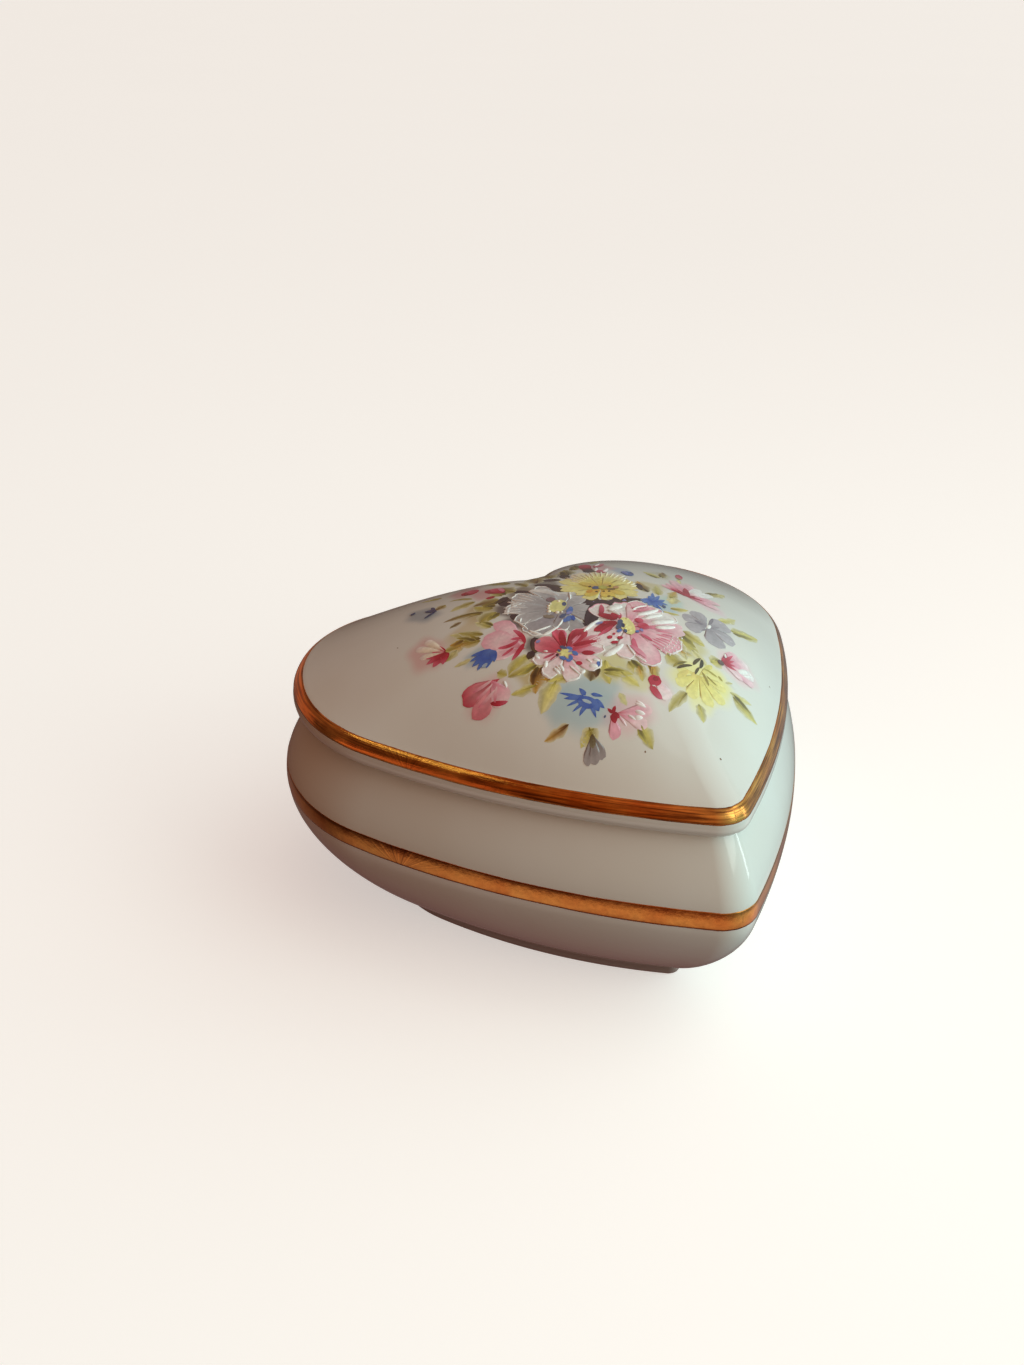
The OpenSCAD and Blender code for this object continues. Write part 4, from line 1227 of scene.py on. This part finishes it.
def paint_left_buds(material):
    """The rose, pink, crimson and blue buds to the left of the spray"""
    canvas = Canvas("left_buds", lift=0.02, seed=31)
    draw_rose_bud(canvas)
    draw_cream_bud(canvas)
    draw_red_bud(canvas)
    canvas.blades((-20.2, -0.2), [
        (155, 3.6, 1.1), (172, 4, 1), (190, 4.2, 1.4), (208, 4.4, 1.2), (228, 3.8, 1.5), (250, 2.8, 1.3)],
        [BLUE, ROYAL, BLUE], shape=(0.4, 0.7))
    canvas.dab(-22.7, -2.3, 1.2, 0.7, (170, 190, 210), 10)
    canvas.strokes([
        (-22.6, 22.2, -21.4, 19.6, 1, 30, [SLATE, (60, 64, 110)]),
        (-21.4, 19.9, -24, 19.2, 0.7, -20, [(60, 64, 110), SLATE]),
        (-21, 22.6, -21.4, 20.4, 0.7, 0, [SLATE, (60, 64, 110)]),
        (-24.6, 23.7, -23.6, 24.3, 0.9, 0, [SLATE, SLATE])])
    canvas.finish(material)


def paint_blue_flowers(material):
    """The light blue flower in front, the blue one on the right and the dabs behind"""
    canvas = Canvas("blue_flowers", lift=0.02, seed=32)
    for x, y, angle, length, width, bend in (
            (-12.2, -18.8, 131, 5.4, 0.7, 10), (-12.6, -17.6, 150, 3.4, 0.8, 0),
            (-13.2, -17.6, 170, 2.6, 0.5, 0), (-13.2, -18.2, 185, 2.2, 0.5, 0),
            (-12.9, -18.8, 205, 2, 0.7, 30), (-12.3, -18.6, 262, 2.6, 0.7, 0),
            (-11.6, -18.6, 290, 2.2, 0.9, 0), (-11.6, -17.6, 318, 2, 0.6, 0),
            (-12.4, -17.4, 100, 1.6, 0.8, 0), (-11.8, -19, 270, 1.6, 1.2, 0)):
        canvas.blade((x, y), angle, length, width, [ROYAL, BLUE, ROYAL], bend=bend, shape=(0.4, 0.8))
    canvas.stroke((-13.9, -17.2), (-11.5, -19.8), 1.1, [ROYAL, BLUE], sag=40)
    canvas.stroke((-13.9, -17.4), (-12.0, -19.6), 0.8, [BLUE, ROYAL], sag=-40)
    canvas.dabs([
        (-12.7, -18.3, 1.7, 0.5, (186, 206, 216), -52), (-11.4, -21.7, 0.5, 0.3, SLATE, 30)])
    canvas.blades_at([
        (10.8, -1, 58, 3.8, 0.8), (11, -1, 38, 3, 0.9), (11.2, -1.4, 12, 2.2, 1),
        (11, -0.6, 165, 2.4, 1.5), (10.8, -0.6, 190, 2.4, 1.3), (10.8, -1, 215, 2.2, 1.3),
        (10.8, -1, 250, 2.6, 1.3), (11, -0.8, 285, 2.8, 0.9), (11.2, -1, 310, 2.4, 0.8),
        (11, -0.6, 80, 1.8, 1.1), (10.6, -2.2, 262, 3.4, 0.6), (10.2, -0.6, 20, 2.2, 1.2)],
        [ROYAL, BLUE, (120, 150, 206)], shape=(0.35, 0.7), streak=0.12)
    canvas.dab(11.6, -3.2, 1.2, 0.7, SLATE, 70)
    canvas.blade((14.6, 13.8), 255, 3.2, 2.0, [SLATE, (96, 106, 160), BLUE], shape=(0.3, 0.5))
    canvas.blade((15.4, 13.2), 185, 2.4, 1.3, [BLUE, SLATE])
    canvas.blade((13.2, 11.2), 70, 3.0, 1.0, [BLUE, PERIWINKLE])
    canvas.finish(material)


def draw_pink_bud(canvas):
    canvas.fan((-10.2, -21.8), 250, 3.6, 30, [CRIMSON, PINK, PINK], edge=PINK)
    canvas.fan((-9.6, -22.2), 338, 5.6, 22, [CRIMSON, PINK, PINK, PALE_PINK], edge=PALE_PINK)
    canvas.fan((-9.4, -22.4), 310, 4.8, 22, [ROSE, PINK, PALE_PINK, PALE_PINK], edge=PALE_PINK)
    canvas.blades((-10.1, -21.9), [
        (110, 1.1, 0.5), (40, 1.2, 0.6), (255, 1.5, 1.1), (300, 1.3, 0.9)],
        [DEEP_RED, DEEP_RED, CRIMSON], shape=(0.35, 0.6))
    canvas.stroke((-9.5, -22.8), (-9.2, -24.6), 0.5, [PINK, BLUSH], sag=10, relief=FINE_BEAD)
    canvas.strokes([
        (-5.9, -21.9, -5, -23.3, 0.55, 0), (-6.3, -22.1, -4.9, -23.6, 0.55, 0),
        (-6.9, -23.2, -5.6, -24.4, 0.75, 0), (-7.6, -24, -6.2, -24.7, 0.8, 0),
        (-8.2, -23.2, -7.4, -24.5, 0.45, 0)], [BLUSH, WHITE], relief=BEAD)


def draw_lilac_bell(canvas):
    for angle, spread in ((228, 22), (272, 20), (250, 26)):
        canvas.fan((-14.2, -22.6), angle, 3.6, spread, [(118, 106, 96), (146, 140, 138), (172, 166, 166)],
                   streak=0.1)
    canvas.blade((-14.2, -22.6), 245, 1.8, 1.0, [OLIVE_DARK, (130, 122, 96)])


def draw_small_red_bud(canvas):
    canvas.fan((-1.0, -19.2), 272, 4.6, 27, [ROSE, PALE_PINK, BLUSH], edge=PALE_PINK)
    canvas.dabs([
        (-1.2, -20, 2.4, 2.1, CRIMSON, 20), (-0.9, -19.8, 1, 0.9, DEEP_RED, 40)])
    canvas.stroke((-2.2, -20.4), (-1.7, -23.4), 1.2, [CRIMSON, CRIMSON, ROSE], sag=-34)
    canvas.stroke((-2.2, -20.6), (-1.6, -21.0), 0.3, BLUSH, relief=FINE_BEAD)


def draw_right_bud(canvas):
    base = (13.9, -17.9)
    canvas.blades(base, [
        (-32, 5.6, 2.2, [ROSE, PINK, PALE_PINK]), (-12, 6, 2.4, [ROSE, PALE_PINK, WHITE]),
        (8, 6, 2.2, [ROSE, PINK, BLUSH]), (28, 5.2, 2, [CRIMSON, PINK, PALE_PINK]),
        (-50, 3.6, 1.4, [PINK, PALE_PINK, PALE_PINK])], shape=(0.9, 0.4))
    canvas.blades(base, [
        (16, 3.2, 0.6), (30, 4.2, 0.6), (-4, 2.6, 0.6), (-28, 2.4, 0.8), (52, 2, 0.6)],
        [DEEP_RED, CRIMSON, ROSE], shape=(0.4, 0.8))
    canvas.dab(13.4, -17.9, 1.3, 1.1, (110, 88, 82), 30)
    canvas.stroke((14.7, -16.8), (16.0, -15.4), 0.6, [MAROON, ROSE], sag=-50)
    canvas.strokes([
        (16.2, -19.2, 19.2, -18.2, 1.2, 0), (15.2, -16.8, 15.9, -15.6, 0.6, 0),
        (17, -19.6, 19.6, -19, 0.6, 0)], WHITE, relief=FINE_BEAD)


def paint_front_buds(material):
    """The pink, grey and red buds in front, and the bud on the right of the point"""
    canvas = Canvas("front_buds", lift=0.02, seed=33)
    draw_pink_bud(canvas)
    draw_lilac_bell(canvas)
    draw_small_red_bud(canvas)
    draw_right_bud(canvas)
    canvas.finish(material)


def paint_lemon_flower(material):
    """The open yellow flower in front, drawn with a few dark lines"""
    canvas = Canvas("lemon_flower", lift=0.02, seed=34)
    pale = [(244, 234, 138), (248, 240, 156)]
    for angle, length in (
            (190, 5), (222, 5.4), (255, 5.6), (288, 5.4), (325, 4.6), (20, 3), (150, 3.6)):
        canvas.fan((7.0, -20.6), angle, length, 22, [(230, 212, 112), *pale], streak=0.03, edge=pale[1])
    for x, y, angle, length, width, colour in (
            (6.6, -19.8, 235, 2, 0.9, (228, 202, 116)), (5.8, -19.4, 200, 3, 1.1, (236, 216, 130)),
            (8.6, -19.6, 20, 2.6, 0.9, (214, 206, 120))):
        canvas.blade((x, y), angle, length, width, [colour, pale[0]])
    canvas.strokes([
        (3.4, -18.4, 6.8, -18, 0.5, 50, OLIVE), (3.8, -18.8, 7.2, -18.7, 0.6, 30, OLIVE_DARK),
        (4.4, -18, 6.4, -17.9, 0.4, 20, (130, 120, 60)), (7.3, -18.5, 9.8, -17.3, 0.6, 24, OLIVE_DARK),
        (9.8, -17.4, 8, -19.2, 0.6, 30, (72, 64, 44)), (8.2, -19, 6.4, -20.4, 0.45, -10, OLIVE_DARK),
        (8.1, -19.9, 7.6, -22.6, 0.5, 20, OLIVE), (8.5, -20.6, 9.5, -22.5, 0.35, -14, OLIVE),
        (8.8, -19.2, 10.6, -21, 0.4, 20, MOSS), (11, -20.6, 11.2, -21.6, 0.4, 0, MOSS)])
    canvas.finish(material)


def paint_right_flowers(material):
    """The grey-lilac flower, the pink spray and the buds on the right lobe"""
    canvas = Canvas("right_flowers", lift=0.02, seed=35)
    middle = (16.6, -9.3)
    for angle, length, spread in (
            (136, 4.4, 36), (84, 4.6, 36), (16, 5.6, 34), (-44, 5, 36), (-104, 5.4, 36), (188, 4.6, 34)):
        canvas.fan(middle, angle, length, spread, [(150, 142, 152), (178, 172, 178), (188, 182, 188)],
                   fullness=(3.2, 0.5), streak=0.08, edge=(180, 174, 180))
    canvas.strokes([
        (16, -9, 15, -7.6, 0.9, 0, (140, 132, 142)), (17.6, -8.6, 20, -6.4, 0.6, 0, (138, 130, 140)),
        (16.2, -10, 14.4, -10.6, 0.4, 0, (150, 142, 150)), (17, -9.6, 19.6, -9, 0.4, 0, (160, 152, 160))])
    canvas.stroke((16.2, -9.9), (17.8, -8.7), 0.8, WHITE, relief=FINE_BEAD)
    base = (19.4, 0.8)
    canvas.blades(base, [
        (112, 5.6, 1.6, [CRIMSON, ROSE, PALE_PINK]), (95, 6, 1.6, [CRIMSON, ROSE, PALE_PINK]),
        (75, 8.2, 2.2, [CRIMSON, PINK, PALE_PINK]), (52, 8, 2, [CRIMSON, PINK, PALE_PINK]),
        (36, 7.6, 1.8, [ROSE, WHITE, WHITE]), (18, 8, 2, [ROSE, WHITE, WHITE]),
        (-8, 7, 1.9, [ROSE, PINK, PALE_PINK]), (-34, 6, 2.2, [ROSE, PINK, PALE_PINK])], shape=(0.9, 0.5))
    canvas.blades(base, [
        (115, 3.6, 0.8), (60, 4.6, 1.3), (95, 3, 0.6), (10, 2.4, 0.7), (-20, 3.2, 0.7)],
        [CRIMSON, DEEP_RED, CRIMSON], shape=(0.4, 0.7))
    canvas.blade((23.8, 9.6), 55, 5.0, 1.4, [MOSS, ROSE, CRIMSON, ROSE], shape=(0.6, 0.6))
    canvas.finish(material)


def paint_back_buds(material):
    """The red buds and pale petals behind, towards the lobes"""
    canvas = Canvas("back_buds", lift=0.02, seed=36)
    canvas.blades_at([
        (-14.6, 23.4, 300, 3.4, 2.6, [CRIMSON, DEEP_RED, CRIMSON]),
        (-13.2, 23.6, 280, 3, 2, [ROSE, CRIMSON]), (-11.6, 19.8, 290, 4, 2, [CRIMSON, DEEP_RED]),
        (-10, 15.4, 95, 4.2, 2, [DEEP_RED, CRIMSON, ROSE]),
        (-11.8, 15.2, 160, 1.8, 1.2, [DEEP_RED, CRIMSON]), (-9.2, 19, 260, 3, 0.9, [PINK, ROSE]),
        (8, 17.2, 62, 6.4, 2.4, [MAROON, CRIMSON, ROSE]), (7.4, 16.8, 30, 2.6, 1.8, [MAROON, MAROON]),
        (9.4, 13.8, 70, 2.6, 1.8, [(176, 92, 96), ROSE]), (10.6, 18.4, 40, 5, 1.6, [CRIMSON, PINK]),
        (0.6, 24, 80, 4.4, 2, [CRIMSON, ROSE, PINK]), (1.6, 24, 50, 3.6, 1.4, [CRIMSON, PINK]),
        (-0.4, 24.2, 115, 3.6, 1.4, [DEEP_RED, PINK])], shape=(0.5, 0.5), streak=0.12)
    canvas.strokes([
        (9, 15.6, 11, 18.4, 0.8, 0), (10.2, 14.6, 12.6, 17, 0.9, 0), (11.4, 19.6, 13.8, 21.8, 0.8, 0)],
        [BLUSH, WHITE], relief=FINE_BEAD)
    canvas.finish(material)


def paint_specks(material):
    """A few pinprick specks in the glaze"""
    canvas = Canvas("glaze_specks", lift=0.01, seed=41)
    for x, y, size in ((-8.3, -28.8, 0.28), (2.4, -33.9, 0.34), (24, -18.6, 0.25), (-31, 15, 0.25)):
        canvas.dab(x, y, size, size, (132, 104, 78))
    canvas.finish(material)


def paint_flowers(material):
    for paint_piece in (paint_ground, paint_leaves, paint_yellow_flower, paint_grey_flower,
                        paint_pink_flower,
                        paint_crimson_flower, paint_left_buds, paint_blue_flowers, paint_front_buds,
                        paint_lemon_flower, paint_right_flowers, paint_back_buds, paint_specks):
        paint_piece(material)


# ------------------------------------------------------------------ stage

# Angles in degrees, lens and sensor in millimetres, everything else in metres
CAMERA_AZIMUTH = -27.607
CAMERA_ELEVATION = 30.325
CAMERA_DISTANCE = 0.22413
AIM_HEIGHT = 0.022
AIM_RIGHT = 0.01457
AIM_UP = -0.01891
SENSOR = 36.0
LENS = 31.69
CLIP_START = 0.005
FLOOR_HALF = 40.0


FLOOR_TONES = ((0.80, 0.77, 0.74, 1), (0.83, 0.80, 0.77, 1))
FLOOR_GLOW_COLOUR = (1.0, 0.98, 0.95, 1)
FLOOR_GLOW = 0.50
BACKDROP = (0.90, 0.87, 0.84, 1)
BACK_WAY = (-0.3, 0.8, 0.45)
BACK_COLOUR = (0.30, 0.17, 0.12)
# Soft light round the room: the way it comes from and its colour
ROOM_LIGHT = [
    ((1, -0.1, 0.3), (0.74, 0.76, 0.74)),
    ((0.6, -0.7, 0.4), (0.06, 0.70, 0.80)),
    ((-0.1, -0.8, 0.5), (0.56, 0.19, 0.06)),
    ((0, 0, 1), (0.27, 0.095, 0.045)),
    ((0, 0, -1), (0.20, 0.09, 0.08)),
]
# The lit table as it is mirrored: how it dims from front to back, then how high up the mirrored room,
# from 0 to 1, each of its colours is
TABLE_FRONT = {"From Min": 0.4, "From Max": -0.15, "To Min": 0.08, "To Max": 1.0}
TABLE_EDGE = (0.08, (0.0, 0.0, 0.0, 1))
TABLE_NEAR = (0.17, (0.60, 0.50, 0.46, 1))
TABLE_FAR = [(0.250, (0.66, 0.52, 0.46, 1)), (0.270, (0.06, 0.02, 0.02, 1)), (0.5, (0, 0, 0, 1))]
# Lights: name, place, what it is aimed at, size, power in watts, colour
SOFTBOXES = [
    ("window", (0.52, -0.31, 0.13), (0, 0, 0.03), (0.06, 0.30), 0.22, (0.86, 1.0, 1.0)),
    ("front_softbox", (0.18, -0.30, 0.22), (0, -0.02, 0.04), (0.22, 0.22), 0.28, (0.88, 1.0, 0.95)),
    ("top_softbox", (0.16, -0.10, 0.34), (0, -0.02, 0.04), (0.22, 0.22), 0.08, (0.88, 1.0, 0.97)),
]
GOLD_LIGHTS = [
    ("gold_strip", (-0.30, 0.01, 0.27), (-0.03, -0.01, 0.045), (0.24, 0.028), 0.075, (0.85, 1.0, 0.6)),
    ("gold_side", (-0.36, -0.02, 0.045), (-0.02, -0.01, 0.04), (0.28, 0.08), 0.05, (1.0, 0.40, 0.24)),
    ("gold_back", (-0.15, 0.33, 0.02), (-0.02, 0.0, 0.04), (0.34, 0.20), 0.065, (1.0, 0.36, 0.20)),
]


def add_camera():
    """A camera to the left of the heart's point and above it, aimed a little to the side of the box"""
    azimuth, elevation = math.radians(CAMERA_AZIMUTH), math.radians(CAMERA_ELEVATION)
    back = Vector((math.sin(azimuth) * math.cos(elevation),
                   -math.cos(azimuth) * math.cos(elevation), math.sin(elevation)))
    right = Vector((math.cos(azimuth), math.sin(azimuth), 0))
    up = back.cross(right)
    data = bpy.data.cameras.new("camera")
    data.sensor_width = SENSOR
    data.lens = LENS
    data.clip_start = CLIP_START
    camera = bpy.data.objects.new("camera", data)
    bpy.context.scene.collection.objects.link(camera)
    turn = Matrix((right, up, back)).transposed().to_4x4()
    place = Vector((0, 0, AIM_HEIGHT)) + back * CAMERA_DISTANCE - right * AIM_RIGHT - up * AIM_UP
    camera.matrix_world = Matrix.Translation(place) @ turn
    bpy.context.scene.camera = camera


def add_light(name, place, target, size, power, colour):
    data = bpy.data.lights.new(name, "AREA")
    data.shape = "RECTANGLE"
    data.size, data.size_y = size
    data.energy = power
    data.color = colour
    light = bpy.data.objects.new(name, data)
    bpy.context.scene.collection.objects.link(light)
    aim = Vector(target) - Vector(place)
    light.matrix_world = Matrix.Translation(place) @ aim.to_track_quat("-Z", "Y").to_matrix().to_4x4()
    return light


def shine_on(light, *pieces):
    """Keeps a light to some of the pieces, and out of the picture"""
    lit = bpy.data.collections.new(light.name + "_lights")
    for piece in pieces:
        lit.objects.link(piece)
    light.light_linking.receiver_collection = lit
    light.visible_camera = False


def add_floor():
    """A wide, plain, pale floor with a faint unevenness of tone"""
    mesh = bpy.data.meshes.new("floor")
    corners = [(-FLOOR_HALF, -FLOOR_HALF, 0), (FLOOR_HALF, -FLOOR_HALF, 0),
               (FLOOR_HALF, FLOOR_HALF, 0), (-FLOOR_HALF, FLOOR_HALF, 0)]
    mesh.from_pydata(corners, [], [(0, 1, 2, 3)])
    floor = bpy.data.objects.new("floor", mesh)
    bpy.context.scene.collection.objects.link(floor)
    material, tree, shader = new_material("pale_floor")
    tone = noise(tree, object_coordinates(tree), 3)
    tree.links.new(blend_colours(tree, tone, *FLOOR_TONES), shader.inputs["Base Color"])
    shader.inputs["Roughness"].default_value = 0.7
    shader.inputs["Emission Color"].default_value = FLOOR_GLOW_COLOUR
    shader.inputs["Emission Strength"].default_value = FLOOR_GLOW
    mesh.materials.append(material)
    floor.visible_diffuse = False
    floor.visible_glossy = False


def lobe(tree, way, axis, colour):
    """Soft light from all round an axis"""
    facing = add_node(tree, "ShaderNodeVectorMath", {0: way, 1: Vector(axis).normalized()},
                      operation="DOT_PRODUCT").outputs["Value"]
    ahead = add_node(tree, "ShaderNodeMath", {0: facing, 1: 0.0}, operation="MAXIMUM").outputs["Value"]
    amount = add_node(tree, "ShaderNodeMath", {0: ahead, 1: 2.0}, operation="POWER").outputs["Value"]
    return scaled(tree, colour, amount)


def scaled(tree, colour, amount):
    node = add_node(tree, "ShaderNodeVectorMath", {0: colour}, operation="SCALE")
    tree.links.new(amount, node.inputs["Scale"])
    return node.outputs["Vector"]


def added(tree, first, *others):
    for other in others:
        first = add_node(tree, "ShaderNodeVectorMath", {0: first, 1: other}).outputs["Vector"]
    return first


def table_top(tree, way):
    """The lit table round the box as it is mirrored: bright in front, dark behind and beneath"""
    parts = add_node(tree, "ShaderNodeSeparateXYZ", {0: way}).outputs
    height = add_node(tree, "ShaderNodeMapRange",
                      {"Value": parts["Z"], "From Min": -1.0}).outputs["Result"]
    bands = add_node(tree, "ShaderNodeValToRGB", {"Fac": height})
    stops = bands.color_ramp.elements
    stops[0].position, stops[0].color = TABLE_EDGE
    stops[1].position, stops[1].color = TABLE_NEAR
    for position, colour in TABLE_FAR:
        stop = stops.new(position)
        stop.color = colour
    front = add_node(tree, "ShaderNodeMapRange", {"Value": parts["Y"], **TABLE_FRONT}).outputs["Result"]
    return scaled(tree, bands.outputs["Color"], front)


def add_surroundings():
    """Soft coloured light round the box, warm things for the glaze to mirror, and a plain backdrop"""
    world = bpy.data.worlds.new("room")
    world.use_nodes = True
    tree = world.node_tree
    way = add_node(tree, "ShaderNodeTexCoord").outputs["Generated"]
    rays = add_node(tree, "ShaderNodeLightPath").outputs
    behind = lobe(tree, way, BACK_WAY, BACK_COLOUR)
    mirrored = scaled(tree, added(tree, table_top(tree, way), behind), rays["Is Glossy Ray"])
    light = added(tree, mirrored, *(lobe(tree, way, axis, colour) for axis, colour in ROOM_LIGHT))
    seen = blend_colours(tree, rays["Is Camera Ray"], light, BACKDROP)
    tree.links.new(seen, tree.nodes["Background"].inputs["Color"])
    bpy.context.scene.world = world


# ------------------------------------------------------------------ the whole scene

bpy.context.scene.view_settings.view_transform = "Standard"
add_camera()
add_surroundings()
add_floor()
for softbox in SOFTBOXES:
    add_light(*softbox)

glaze = porcelain_material()
make_bowl(glaze)
make_lid(glaze)
# The belly band gets a painted dark reflection along its top edge
make_gilt_line("belly_gilt_band", BAND_CURVE, 0, "base", gold_material("belly_gold", 1.1, 0.9, 0.35, 0.2),
               "base_gilt_band", seed=3, dark_reflection_from=0.78)
lid_gold = make_gilt_line("lid_gilt_line", GILT_CURVE, DOME_BACK, "lid",
                          gold_material("lid_gold", 0.10, 2.5, 0.95, 0.12), "lid_gilt_rim", seed=8)
for gold_light in GOLD_LIGHTS:
    shine_on(add_light(*gold_light), lid_gold)
paint_flowers(enamel_material())
